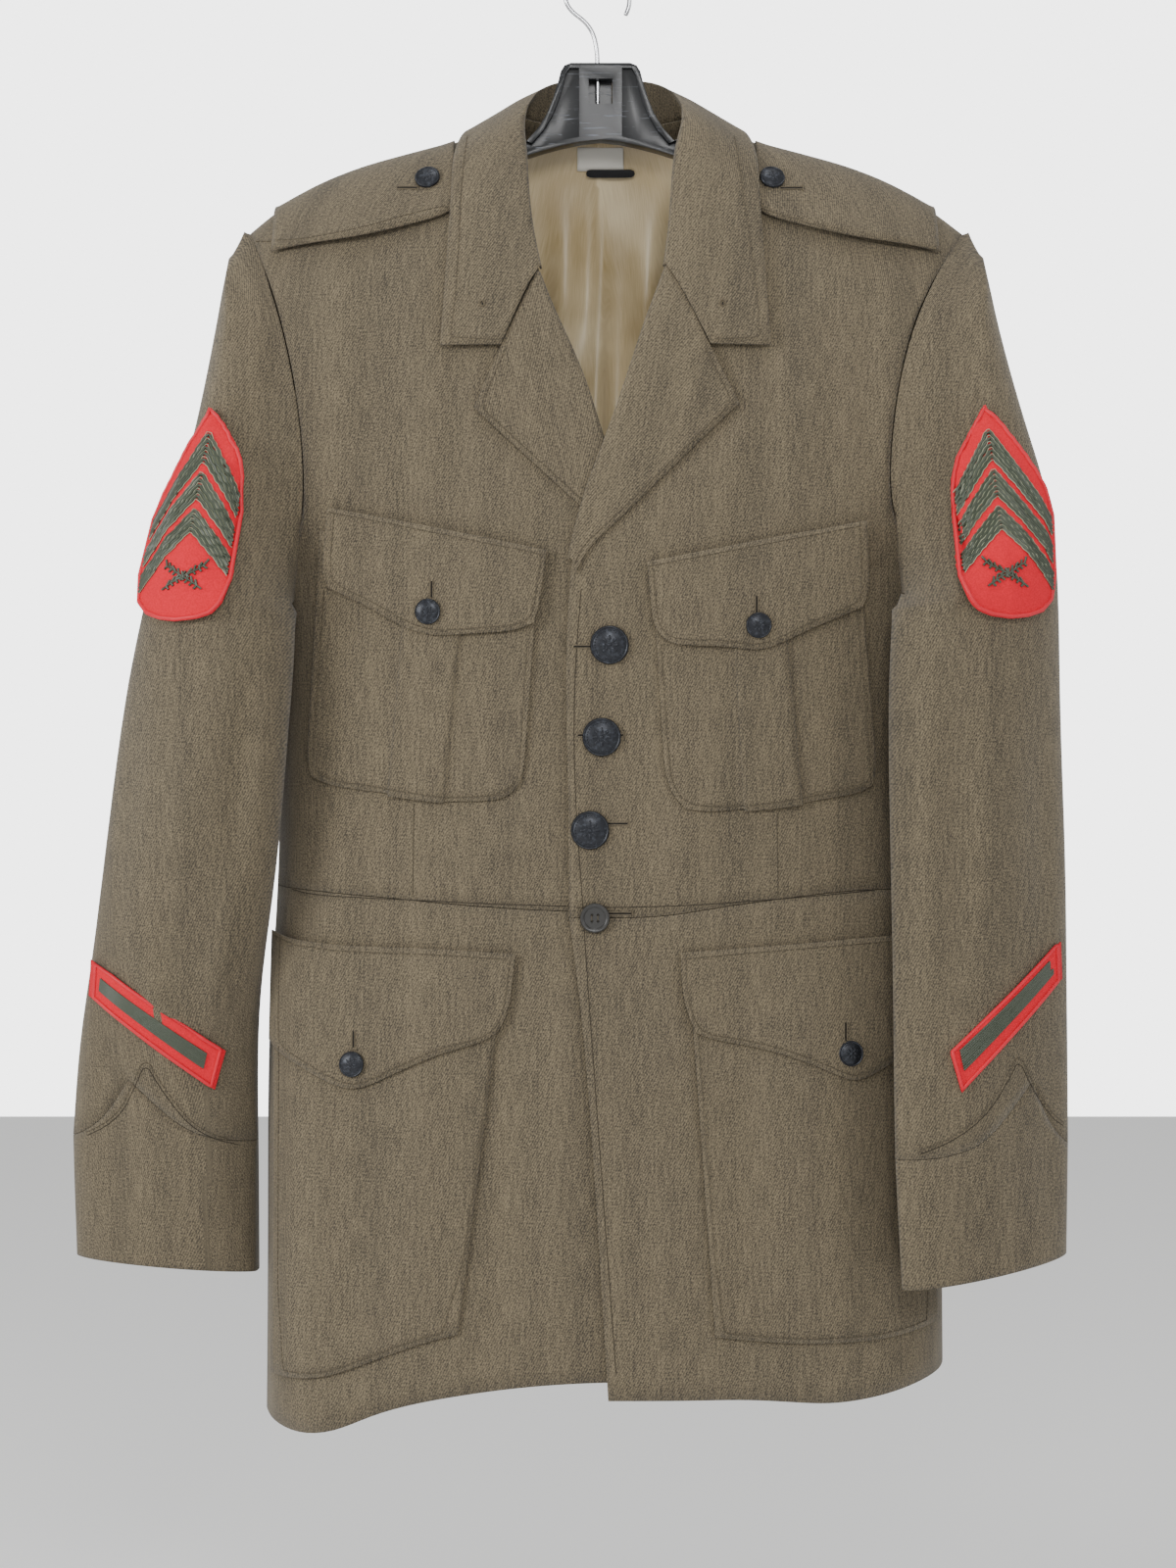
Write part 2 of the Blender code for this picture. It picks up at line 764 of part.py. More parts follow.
SKIRT_FLAP_RIGHT = (
    ("x_top", "z_top", "x_low", "z_low", "raise"),
    (54, -664.3, 54.8, -686, 0),
    (57.5, -664, 57.4, -702, 0),
    (64, -663.5, 64.1, -716.1, 0),
    (74.4, -662.7, 74.4, -720.6, 0),
    (95, -661, 95, -723.9, 0),
    (120.5, -659.4, 120.2, -729.8, 0),
    (146, -657.2, 146.2, -739.2, 0),
    (161, -656, 161.2, -746.5, 0),
    (170, -655.3, 170, -748.9, 0),
    (180, -654.8, 179.8, -745.1, 0),
    (194, -653.8, 193.2, -737.8, 0),
    (206, -653, 205, -731, 0),
    (214, -652.4, 214, -724, 0),
)

POCKET_LIFT = LAYER_GAP + TRIM
FLAP_LIFT = 2 * LAYER_GAP + 2 * TRIM + 1.5
SKIRT_FLAP_LIFT = 2 * LAYER_GAP + 2 * TRIM


def patch(name, side, columns, lift, levels):
    """A patch or flap sewn on a front, from its table of columns."""
    rows = []
    for share in np.linspace(0, 1, levels):
        row = []
        for x_top, z_top, x_low, z_low, rise in columns[1:]:
            x = x_top + (x_low - x_top) * share
            z = z_top + (z_low - z_top) * share
            row.append(lay(x, z, lift + rise + front_lift(side, x)))
        rows.append(row)
    return cloth(name, rows, TRIM, "wool", TOWARDS_VIEWER)


# Each lapel, row by row down its fold line: the fold, the free edge and the lift of its face
LAPEL_LEFT = (
    ("x_fold", "z_fold", "x_edge", "z_edge", "lift"),
    (-40.7, -215.4, -63.8, -266, 4.0),
    (-36, -228, -72.5, -286, 4.0),
    (-30, -243, -81.1, -306.1, 3.8),
    (-21, -262, -68, -318.5, 3.4),
    (-10, -288, -48, -337, 2.8),
    (-1, -318, -26, -357, 2.2),
    (7.5, -345, -9.1, -372.6, 2.1),
    (14.5, -376, 5, -387, 2.1),
    (19, -396, 14, -399, 2.1),
)
LAPEL_RIGHT = (
    ("x_fold", "z_fold", "x_edge", "z_edge", "lift"),
    (47.3, -210.5, 73.3, -266, 4.0),
    (42, -226, 83, -285, 4.0),
    (35, -244, 92.5, -303.5, 3.8),
    (27.2, -268, 76, -319, 3.4),
    (17.5, -298, 50, -344.5, 2.8),
    (6, -330, 25, -369, 2.4),
    (-3.8, -355, 5, -388, 2.2),
    (-11, -378, -7.1, -398.9, 2.1),
    (-17, -405, -14.5, -415, 2.1),
)
FOLD_OUT = 2.9
FOLD_SHARES = (0.0, 0.0, 0.2, 0.45, 0.7, 1.0)


def lapel(name, side, table):
    """A lapel turned back over the front along its fold line."""
    rows = []
    for x_fold, z_fold, x_edge, z_edge, lift in table[1:]:
        row = []
        for i, share in enumerate(FOLD_SHARES):
            x = x_fold + (x_edge - x_fold) * share
            z = z_fold + (z_edge - z_fold) * share
            base = front_lift(side, x)
            if i == 0:
                row.append(lay(x - side * FOLD_OUT, z, base + 0.3))
            elif i == 1:
                row.append(lay(x - side * FOLD_OUT / 3, z, base + lift * 0.85))
            else:
                row.append(lay(x, z, base + lift))
        rows.append(row)
    return cloth(name, rows, TRIM, "wool", TOWARDS_VIEWER)


# The collar from the back neck to the gorge, out from the middle line: neck seam, crest,
# middle of the fall and its free edge. A row with a y of 0 for the fall lies on the front.
COLLAR_BACK = (
    ("seam", "seam_y", "seam_z", "crest", "crest_y", "crest_z")
    + ("mid", "mid_y", "mid_z", "edge", "edge_y", "edge_z"),
    (0, 27.5, -105.0, 0, 31.5, -69, 0, 39.5, -88, 0, 42, -112),
    (18, 26.0, -104.6, 17, 30, -69.3, 21, 38.5, -88, 25, 40.5, -112),
    (35, 20.5, -103.4, 31, 24, -71.5, 42, 34, -89.5, 53, 34.5, -111.5),
    (50, 12.0, -99.8, 42, 13, -77.5, 60, 22, -92.5, 78, 21.5, -110),
    (59, 1.0, -95.8, 49, 0, -85.5, 70, 4, -94.0, 93, 2, -107.4),
)
COLLAR_FRONT = (
    ("crest_z", "mid", "mid_z", "edge", "edge_z"),
    (-110, 77, -121, 100, -133.5),
    (-135, 78, -143, 101.5, -157),
    (-160, 77, -169, 103, -183),
    (-187, 73.5, -212, 105.5, -224),
    (-212.5, 68.6, -265, 108.3, -265),
)
COLLAR_LIFT = 4.6


def collar_station(side, row):
    """Points across the collar from its neck seam over the crest to the free edge, at the back."""
    seam, crest, mid, edge = (
        Vector((AXIS_X + side * row[i], row[i + 1], row[i + 2])) for i in (0, 3, 6, 9)
    )
    inner = seam.lerp(crest, 0.75)
    outer = crest.lerp(mid, 0.35) + Vector((0, 0, 1.5))
    return [seam, inner, crest, outer, mid, mid.lerp(edge, 0.5), edge]


def collar_front_station(side, row):
    """The same on the front, where the collar lies on the chest."""
    crest_z, mid, mid_z, edge, edge_z = row
    fold = inner_x(side, crest_z)
    mid_x, edge_x = AXIS_X + side * mid, AXIS_X + side * edge

    def on_chest(x, z, lift):
        return lay(x, z, lift + front_lift(side, x))

    return [
        on_chest(fold - side * 2.6, crest_z, -2.2),
        on_chest(fold - side * 3.4, crest_z, 0.6),
        on_chest(fold - side * 2.2, crest_z, 3.6),
        on_chest(fold + (mid_x - fold) * 0.3, crest_z + (mid_z - crest_z) * 0.3, COLLAR_LIFT + 0.6),
        on_chest(mid_x, mid_z, COLLAR_LIFT),
        on_chest((mid_x + edge_x) / 2, (mid_z + edge_z) / 2, COLLAR_LIFT),
        on_chest(edge_x, edge_z, COLLAR_LIFT),
    ]


def collar(name):
    """The collar, folded over its stand, from gorge to gorge."""
    halves = {}
    for side in (LEFT, RIGHT):
        rows = [collar_station(side, row) for row in COLLAR_BACK[1:]]
        rows += [collar_front_station(side, row) for row in COLLAR_FRONT[1:]]
        halves[side] = rows
    stations = halves[LEFT][:0:-1] + halves[RIGHT]
    rows = [stations[0]]
    for k in range(len(stations) - 1):
        before, start = stations[max(k - 1, 0)], stations[k]
        end, after = stations[k + 1], stations[min(k + 2, len(stations) - 1)]
        rows.append(
            [(b + c) * 0.5625 - (a + d) * 0.0625 for a, b, c, d in zip(before, start, end, after)]
        )
        rows.append(end)
    return cloth(name, rows, TRIM, "wool", TOWARDS_VIEWER)


# Each shoulder strap: across the coat, how far it reaches down the front and the back (in
# degrees from the chest over the shoulder seam), and how far its front edge springs up
STRAP_ROWS = (
    ("across", "front_z", "back_turn", "spring"),
    (101, -171.5, 98.6, 0.0),
    (108, -176, 100, 0.3),
    (125, -181.5, 103, 2.0),
    (148, -188, 106, 4.0),
    (170, -192, 109, 4.5),
    (190, -193.5, 111, 3.5),
    (208, -195, 113, 2.0),
    (222, -197, 114, 1.0),
)
STRAP_COLUMNS = 6
STRAP_LIFT = 3.2


def over_shoulder(x, turn, lift):
    """A point on the shoulder: turn runs from the chest, past 90 at the seam, to the back."""
    face, wrap = (FRONT, turn) if turn <= math.pi / 2 else (BACK, math.pi - turn)
    return body_at(x, wrap, face) + unit_out(x, wrap, face) * lift


def shoulder_strap(name, side):
    """A shoulder strap, sewn into the armhole seam and buttoned beside the collar."""
    rows = []
    for across, front_z, back_turn, spring in STRAP_ROWS[1:]:
        x = AXIS_X + side * across
        first, last = wrap_of(x, front_z), math.radians(back_turn)
        row = []
        for share in np.linspace(0, 1, STRAP_COLUMNS):
            raised = spring * max(1 - share / 0.6, 0) ** 2
            row.append(over_shoulder(x, first + (last - first) * share, STRAP_LIFT + raised))
        rows.append(row)
    return cloth(name, rows, TRIM, "wool", Vector((0, -0.3, 1)))


# The inside of the back that shows in the neck, with its label and hanging loop
LINING_ROWS = (
    ("z", "half"),
    (-111, 40),
    (-122, 62),
    (-140, 84),
    (-165, 104),
    (-200, 114),
    (-245, 120),
    (-300, 124),
    (-360, 126),
    (-430, 128),
)
LINING_DEPTH = -4.4
LABEL = {"low": -129.0, "high": -113.5, "left": -14.5, "right": 18.5}
LOOP = {"low": -133.5, "high": -127.5, "left": -9.0, "right": 27.0}


def back_lining(name):
    """The satin lining of the back."""
    rows = []
    for z, half in LINING_ROWS[1:]:
        row = [lay(AXIS_X + half * share, z, LINING_DEPTH, BACK) for share in np.linspace(-1, 1, 9)]
        rows.append(row)
    return cloth(name, rows, 1.0, "satin", TOWARDS_VIEWER)


def neck_strip(name, place, depth, look, bow):
    """A small strip sewn inside the neck: a label or a loop that bows away from the lining."""
    rows = []
    for z in (place["high"], place["low"]):
        row = []
        for share in np.linspace(0, 1, 7):
            x = place["left"] + (place["right"] - place["left"]) * share
            row.append(lay(x, z, depth - bow * math.sin(math.pi * share), BACK))
        rows.append(row)
    return cloth(name, rows, 0.8, look, TOWARDS_VIEWER)


# Badges: the rank patch by half width, top and bottom below its apex, and the service stripes
RANK_OUTLINE = (
    ("across", "top", "bottom"),
    (-32, 70, 116),
    (-29, 49, 132),
    (-23, 32, 138.5),
    (-14, 19, 141.5),
    (0, 0, 143),
    (14, 19, 141.5),
    (28, 39, 137.5),
    (38, 56, 130),
    (42, 74, 112),
)
RANK_MIDDLE = {LEFT: ((-252, -305), (-272, -447)), RIGHT: ((253.5, -304), (264.5, -446))}
STRIPE_CORNERS = {
    LEFT: ((-337, -671), (-250, -731), (-257, -757), (-339, -695)),
    RIGHT: ((227, -727), (303, -657), (304, -681), (234, -752)),
}
RANK_LIFT = 4.0
STRIPE_LIFT = {LEFT: 3.2, RIGHT: 2.3}
OVER_SLEEVE = 9.0
INNER_SPRING = 1.5
TAUT_ROUNDS = 40
BADGE = 1.1
AROUND_STEP = math.radians(7.5)
DOWN_STEP = 12.0


@functools.lru_cache(maxsize=None)
def sleeve_knots(side):
    """The joined points of a sleeve's outer face, row by row from the armhole."""
    levels = (*SLEEVE_LEVELS, 9.45, 9.9)
    return [[sleeve_at(side, level, turn) for turn in RING_TURNS] for level in levels]


@functools.lru_cache(maxsize=None)
def sleeve_line(side, turn):
    """Heights and points down a sleeve's outer face on one turn."""
    turns = [*RING_TURNS, 2 * math.pi]
    turn = turn % (2 * math.pi)
    j = min(bisect.bisect_right(turns, turn) - 1, len(RING_TURNS) - 1)
    v = (turn - turns[j]) / (turns[j + 1] - turns[j])
    line = [row[j].lerp(row[(j + 1) % len(row)], v) for row in sleeve_knots(side)]
    return np.array([tuple(p) for p in line[::-1]])


def sleeve_face(side, z, turn):
    """The point of a sleeve's outer face at a height and a turn."""
    line = sleeve_line(side, turn)
    return Vector([np.interp(z, line[:, 2], line[:, k]) for k in (0, 1)] + [z])


@functools.lru_cache(maxsize=None)
def ring_line(side, z):
    """Turns, points and running lengths round the front of a sleeve at one height."""
    turns = np.radians(np.linspace(-37.5, 202.5, 65))
    points = np.array([tuple(sleeve_face(side, z, t)) for t in turns])
    steps = np.linalg.norm(np.diff(points, axis=0), axis=1)
    return turns, points, np.concatenate([[0], np.cumsum(steps)])


def sleeve_turn_at(side, x, z):
    """The turn at which the sleeve's front passes x at height z."""
    turns, points, _ = ring_line(side, z)
    ahead = (turns > math.radians(8)) & (turns < math.radians(172))
    order = np.argsort(points[ahead, 0])
    return float(np.interp(x, points[ahead, 0][order], turns[ahead][order]))


def facets_of(obj):
    """The facets of a built solid in mm, for laying a badge over them."""
    mesh = obj.evaluated_get(bpy.context.evaluated_depsgraph_get()).to_mesh()
    mesh.calc_loop_triangles()
    corners = [tuple(triangle.vertices) for triangle in mesh.loop_triangles]
    return BVHTree.FromPolygons([v.co / MM for v in mesh.vertices], corners)


def on_sleeve(side, z, turn, facets, lift):
    """A point just over the built sleeve at a height and a turn."""
    along = sleeve_face(side, z - DOWN_STEP, turn) - sleeve_face(side, z + DOWN_STEP, turn)
    around = sleeve_face(side, z, turn + AROUND_STEP) - sleeve_face(side, z, turn - AROUND_STEP)
    out = along.cross(around).normalized() * -side
    above = sleeve_face(side, z, turn) + out * OVER_SLEEVE
    nearest = facets.find_nearest(above)[0]
    return nearest + (above - nearest).normalized() * lift


def rank_patch(name, side, under):
    """The pointed badge on an upper sleeve."""
    facets = facets_of(under)
    (x_top, z_top), (x_low, z_low) = RANK_MIDDLE[side]
    rows = []
    for share in np.linspace(0, 1, 13):
        row = []
        for across, top, bottom in RANK_OUTLINE[1:]:
            down = top + (bottom - top) * share
            z = z_top - down
            x_mid = x_top + (x_low - x_top) * down / (z_top - z_low)
            turns, _, run = ring_line(side, z)
            start = np.interp(sleeve_turn_at(side, x_mid, z), turns, run)
            turn = float(np.interp(start - side * across, run, turns))
            lift = RANK_LIFT + (INNER_SPRING if across < -25 else 0.0)
            row.append(on_sleeve(side, z, turn, facets, lift))
        rows.append(row)
    for _ in range(TAUT_ROUNDS):
        for above, row, below in zip(rows, rows[1:], rows[2:]):
            for i, point in enumerate(row):
                row[i] = Vector((point.x, min(point.y, (above[i].y + below[i].y) / 2), point.z))
    return cloth(name, rows, BADGE, "badge_cloth", Vector((side * 0.5, -1, 0)))


def service_stripe(name, side, under):
    """The slanted stripe above a cuff."""
    facets = facets_of(under)
    first, second, third, fourth = (Vector((x, 0, z)) for x, z in STRIPE_CORNERS[side])
    rows = []
    for down in np.linspace(0, 1, 3):
        row = []
        for along in np.linspace(0, 1, 8):
            spot = first.lerp(second, along).lerp(fourth.lerp(third, along), down)
            turn = sleeve_turn_at(side, spot.x, spot.z)
            row.append(on_sleeve(side, spot.z, turn, facets, STRIPE_LIFT[side]))
        rows.append(row)
    return cloth(name, rows, BADGE, "badge_cloth", Vector((0, -1, 0)))


# Buttons: where each sits and how far its foot stands off the body
FRONT_BUTTONS = ((7.6, -461.8), (2.5, -522.1), (-5.2, -583.3), (-2.0, -641.2))
CHEST_BUTTONS = {LEFT: (-110.8, -439.7), RIGHT: (104.8, -448.8)}
SKIRT_BUTTONS = {LEFT: (-160.9, -737.8), RIGHT: (165.2, -730.6)}
STRAP_BUTTONS = {LEFT: (-113.3, -149.5), RIGHT: (116.0, -149.7)}
BUTTON_FOOT = 0.5
SHANK_RADIUS = 2.6


def button(name, spot, foot, size, look, domed=True):
    """A turned button on its shank, facing straight out of the cloth."""
    radius = size / 2
    if domed:
        profile = [
            (0, 0),
            (SHANK_RADIUS, 0),
            (SHANK_RADIUS, 1.1),
            (radius * 0.94, 1.3),
            (radius, 2.0),
            (radius * 0.95, 2.7),
            (radius * 0.84, 2.5),
            (radius * 0.5, 2.4 + radius * 0.16),
            (0, 2.4 + radius * 0.22),
        ]
    else:
        profile = [
            (0, 0),
            (SHANK_RADIUS, 0),
            (SHANK_RADIUS, 1.0),
            (radius * 0.93, 1.0),
            (radius, 2.0),
            (radius * 0.92, 3.1),
            (radius * 0.74, 3.0),
            (radius * 0.64, 2.3),
            (0, 2.2),
        ]
    mesh = bmesh.new()
    verts = [mesh.verts.new((r, 0, h)) for r, h in profile]
    edges = [mesh.edges.new(pair) for pair in zip(verts, verts[1:])]
    bmesh.ops.spin(
        mesh,
        geom=verts + edges,
        cent=(0, 0, 0),
        axis=(0, 0, 1),
        angle=2 * math.pi,
        steps=12,
        use_merge=True,
    )
    bmesh.ops.remove_doubles(mesh, verts=mesh.verts, dist=0.001)
    bmesh.ops.recalc_face_normals(mesh, faces=mesh.faces)
    x, z = spot
    wrap = wrap_of(x, z)
    out = unit_out(x, wrap, FRONT)
    turned = Vector((0, 0, 1)).rotation_difference(out).to_matrix().to_4x4()
    place = Matrix.Translation(lay(x, z, foot)) @ turned
    bmesh.ops.transform(mesh, matrix=place, verts=mesh.verts)
    return finish(object_from(name, mesh), look)


# The hanger: half of its outline from the top of the neck, out from its middle line
HANGER_X = 2.0
HANGER_THICK = 13.0
HANGER_NECK = (
    ("across", "z"),
    (20, -64.2),
    (24.5, -66),
    (27, -70),
    (29, -78),
    (32, -88),
    (36, -98),
    (42, -108),
    (50, -117),
)
ARM_SINK = 5.3
ARM_DEEP = {"root": 27.0, "tip": 13.0}
ARM_REACH = 205.0
ARCH_TOP = -116.0
RIM = 3.4
WEB = 4.0
PANEL_HALF = 14.5
SLOT = {"left": -8.0, "right": 8.0, "high": -75.0, "low": -92.0}


def arm_top(across):
    """Height of the top of a hanger arm, just under the shoulder."""
    return SHOULDER.at(across, "z") - CLOTH - ARM_SINK


def arm_low(across):
    """Height of the underside of a hanger arm, with the arch under the neck."""
    share = (across - 50) / (ARM_REACH - 50)
    deep = ARM_DEEP["root"] + (ARM_DEEP["tip"] - ARM_DEEP["root"]) * min(max(share, 0), 1)
    if across >= 50:
        return arm_top(across) - deep
    return ARCH_TOP + (arm_top(50) - ARM_DEEP["root"] - ARCH_TOP) * (across / 50) ** 1.5


def hanger_outline():
    """The hanger's outline seen from the front, as points round it."""
    top = [(across, z) for across, z in HANGER_NECK[1:]]
    arm = [(across, arm_top(across)) for across in np.linspace(66, ARM_REACH, 9)]
    tip = [(ARM_REACH + 5, arm_top(ARM_REACH) - 5)]
    low = [(across, arm_low(across)) for across in np.linspace(ARM_REACH, 50, 8)]
    arch = [(across, arm_low(across)) for across in (38, 26, 13)]
    half = top + arm + tip + low + arch
    right = [Vector((HANGER_X + a, z)) for a, z in half]
    left = [Vector((HANGER_X - a, z)) for a, z in reversed(half)]
    return right + [Vector((HANGER_X, ARCH_TOP))] + left


def slab(name, outline, y_front, y_back):
    """A plate of the given outline between two depths."""
    mesh = bmesh.new()
    front = [mesh.verts.new((p.x, y_front, p.y)) for p in outline]
    back = [mesh.verts.new((p.x, y_back, p.y)) for p in outline]
    mesh.faces.new(front)
    mesh.faces.new(back[::-1])
    for i in range(len(outline)):
        k = (i + 1) % len(outline)
        mesh.faces.new((front[k], front[i], back[i], back[k]))
    bmesh.ops.recalc_face_normals(mesh, faces=mesh.faces)
    return object_from(name, mesh)


def cut_away(obj, cutter):
    """Cut a helper's shape out of an object."""
    cutter.hide_render = True
    cutter.display_type = "WIRE"
    boolean = obj.modifiers.new("Cut", "BOOLEAN")
    boolean.operation = "DIFFERENCE"
    boolean.object = cutter


def recess_outline(side):
    """The hollow between the rims on one side of the hanger's middle panel."""
    outer = []
    for a, z in HANGER_NECK[2:]:
        outer.append((a - RIM, z - RIM * 0.5))
    outer += [(a, arm_top(a) - RIM) for a in np.linspace(66, ARM_REACH - 8, 7)]
    under = [(a, arm_low(a) + RIM) for a in np.linspace(ARM_REACH - 8, 50, 6)]
    under += [(a, arm_low(a) + RIM) for a in (38, 26, PANEL_HALF)]
    points = [(PANEL_HALF, HANGER_NECK[1][1] - RIM)] + outer + under
    return [Vector((HANGER_X + side * a, z)) for a, z in points]


def hanger_body(name):
    """The moulded hanger: a web between rims, with a plain panel and a slot under the hook."""
    body = slab(name, hanger_outline(), -HANGER_THICK / 2, HANGER_THICK / 2)
    reach = HANGER_THICK
    for label, side in SIDES.items():
        for face in (FRONT, BACK):
            depths = (face * reach, face * WEB / 2)
            cutter = slab(f"recess_{label}_{face}", recess_outline(side), min(depths), max(depths))
            cut_away(body, cutter)
    slot = [
        Vector((HANGER_X + SLOT[a], SLOT[b]))
        for a, b in (("left", "high"), ("right", "high"), ("right", "low"), ("left", "low"))
    ]
    cut_away(body, slab("slot", slot, -reach, reach))
    bpy.ops.mesh.primitive_cylinder_add(
        vertices=12,
        radius=(WIRE / 2 + 0.4) * MM,
        depth=60 * MM,
        location=(0, 0, (SLOT["low"] - 5 + 30) * MM),
    )
    bore = bpy.context.object
    bore.name = "bore"
    cut_away(body, bore)
    return finish(body, "hanger_plastic")


def hanger_hook(name):
    """The bent wire hook, from the slot in the hanger up and over the rail."""
    ring = HOOK_INNER + WIRE / 2
    path = [(0, SLOT["low"] - 4), (0, -80), (0, -64), (-0.8, -52), (-3.5, -42), (-9, -34.5), (-15.5, -29.5)]
    path += [(-19.6, -25)]
    for angle in range(180, -41, -15):
        turn = math.radians(angle)
        path.append((ring * math.cos(turn), -HOOK_INNER + ring * math.sin(turn)))
    curve = bpy.data.curves.new(name, "CURVE")
    curve.dimensions = "3D"
    curve.bevel_depth = WIRE / 2 * MM
    curve.bevel_resolution = 2
    curve.use_fill_caps = True
    spline = curve.splines.new("POLY")
    smooth = rounded(path)
    spline.points.add(len(smooth) - 1)
    for point, (x, z) in zip(spline.points, smooth):
        point.co = (x * MM, 0, z * MM, 1)
    obj = bpy.data.objects.new(name, curve)
    bpy.context.scene.collection.objects.link(obj)
    colour, roughness, metallic = FINISHES["chrome"]
    curve.materials.append(material("chrome", colour, roughness, metallic))
    return obj


def rounded(path):
    """The path with a point added on a smooth curve between each pair."""
    dense = [path[0]]
    for k in range(len(path) - 1):
        a, b = path[max(k - 1, 0)], path[k]
        c, d = path[k + 1], path[min(k + 2, len(path) - 1)]
        dense.append(tuple((b[i] + c[i]) * 0.5625 - (a[i] + d[i]) * 0.0625 for i in (0, 1)))
        dense.append(c)
    return dense


def clear_scene():
    """Remove what the scene starts with."""
    for obj in list(bpy.data.objects):
        bpy.data.objects.remove(obj, do_unlink=True)


def build_coat():
    """Build every piece of the coat and its hanger."""
    tables = {
        LEFT: (CHEST_POCKET_LEFT, CHEST_FLAP_LEFT, SKIRT_POCKET_LEFT, SKIRT_FLAP_LEFT, LAPEL_LEFT),
        RIGHT: (CHEST_POCKET_RIGHT, CHEST_FLAP_RIGHT, SKIRT_POCKET_RIGHT, SKIRT_FLAP_RIGHT, LAPEL_RIGHT),
    }
    for label, side in SIDES.items():
        chest, chest_flap, skirt, skirt_flap, turned = tables[side]
        front_upper(f"front_upper_{label}", side)
        front_skirt(f"front_skirt_{label}", side)
        back_panel(f"back_{label}", side)
        under = sleeve(f"sleeve_{label}", side)
        cuff(f"cuff_{label}", side)
        patch(f"chest_pocket_{label}", side, chest, POCKET_LIFT, 6)
        patch(f"chest_flap_{label}", side, chest_flap, FLAP_LIFT, 4)
        patch(f"skirt_pocket_{label}", side, skirt, POCKET_LIFT, 7)
        patch(f"skirt_flap_{label}", side, skirt_flap, SKIRT_FLAP_LIFT, 4)
        lapel(f"lapel_{label}", side, turned)
        shoulder_strap(f"epaulette_{label}", side)
        rank_patch(f"rank_patch_{label}", side, under)
        service_stripe(f"service_stripe_{label}", side, under)
        spot = CHEST_BUTTONS[side]
        foot = FLAP_LIFT + BUTTON_FOOT + front_lift(side, spot[0])
        button(f"chest_button_{label}", spot, foot, SMALL_BUTTON, "button_metal")
        spot = SKIRT_BUTTONS[side]
        foot = SKIRT_FLAP_LIFT + BUTTON_FOOT
        button(f"skirt_button_{label}", spot, foot, SMALL_BUTTON, "button_metal")
        foot = STRAP_LIFT + BUTTON_FOOT
        button(f"epaulette_button_{label}", STRAP_BUTTONS[side], foot, SMALL_BUTTON, "button_metal")
    collar("collar")
    back_lining("back_lining")
    neck_strip("neck_label", LABEL, LINING_DEPTH - 1.6, "label_cloth", 0.0)
    neck_strip("hanger_loop", LOOP, LINING_DEPTH - 3.2, "black_tape", 2.0)
    for i, spot in enumerate(FRONT_BUTTONS):
        plain = i == 3
        button(
            f"front_button_{i + 1}",
            spot,
            OVERLAP_LIFT + BUTTON_FOOT,
            PLAIN_BUTTON if plain else BIG_BUTTON,
            "button_plastic" if plain else "button_metal",
            not plain,
        )
    hanger_body("hanger_body")
    hanger_hook("hanger_hook")


clear_scene()
build_coat()
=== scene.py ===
"""The looks of a wool service coat that hangs on a moulded hanger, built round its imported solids.

Lengths in the tables are millimetres in the row frame: +X to the picture's right, -Y to the
viewer and +Z up from the inner top of the hook. Left and right are the picture's.
"""

import sys

import json
import logging
import math
from collections.abc import Callable, Sequence
from dataclasses import dataclass, field
from enum import Enum

import bpy
import numpy as np
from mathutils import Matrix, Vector
from mathutils.bvhtree import BVHTree

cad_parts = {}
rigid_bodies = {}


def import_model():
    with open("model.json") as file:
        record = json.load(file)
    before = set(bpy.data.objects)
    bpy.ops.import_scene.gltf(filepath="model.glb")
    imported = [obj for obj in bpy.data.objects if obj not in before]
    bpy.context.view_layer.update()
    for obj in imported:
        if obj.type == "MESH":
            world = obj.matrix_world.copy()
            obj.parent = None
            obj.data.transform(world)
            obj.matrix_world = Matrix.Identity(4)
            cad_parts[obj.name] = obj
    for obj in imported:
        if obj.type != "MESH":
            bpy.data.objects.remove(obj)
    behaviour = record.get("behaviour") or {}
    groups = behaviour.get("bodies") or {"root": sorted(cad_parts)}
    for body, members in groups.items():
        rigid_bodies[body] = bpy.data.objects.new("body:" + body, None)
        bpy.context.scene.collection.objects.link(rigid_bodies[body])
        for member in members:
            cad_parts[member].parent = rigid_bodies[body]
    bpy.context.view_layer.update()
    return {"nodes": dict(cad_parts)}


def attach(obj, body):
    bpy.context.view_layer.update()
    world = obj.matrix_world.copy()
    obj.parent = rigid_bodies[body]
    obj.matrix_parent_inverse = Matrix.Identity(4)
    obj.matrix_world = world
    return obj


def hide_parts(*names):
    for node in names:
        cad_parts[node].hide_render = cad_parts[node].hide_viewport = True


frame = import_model()

MM = 0.001
LOG = logging.getLogger("service_coat")
Point = tuple[float, float]
Run = list[Vector]


class Side(Enum):
    """A side of the coat, as the picture shows it."""

    LEFT = "left"
    RIGHT = "right"

    @property
    def sign(self) -> int:
        """Which way along X this side lies."""
        return -1 if self is Side.LEFT else 1


class Slot(Enum):
    """The record's material slots."""

    WOOL = "wool"
    SATIN = "satin"
    BADGE = "badge_cloth"
    LABEL = "label_cloth"
    TAPE = "black_tape"
    BUTTON = "button_metal"
    PLAIN_BUTTON = "button_plastic"
    HANGER = "hanger_plastic"
    HOOK = "hook_steel"


def linear(colour: str) -> tuple[float, float, float, float]:
    """Turn an sRGB hex colour to linear.

    Args:
        colour: six hex digits.

    Returns:
        Red, green, blue and an alpha of 1.
    """
    parts = [int(colour[i : i + 2], 16) / 255 for i in (0, 2, 4)]
    curved = [p / 12.92 if p <= 0.04045 else ((p + 0.055) / 1.055) ** 2.4 for p in parts]
    return (curved[0], curved[1], curved[2], 1.0)


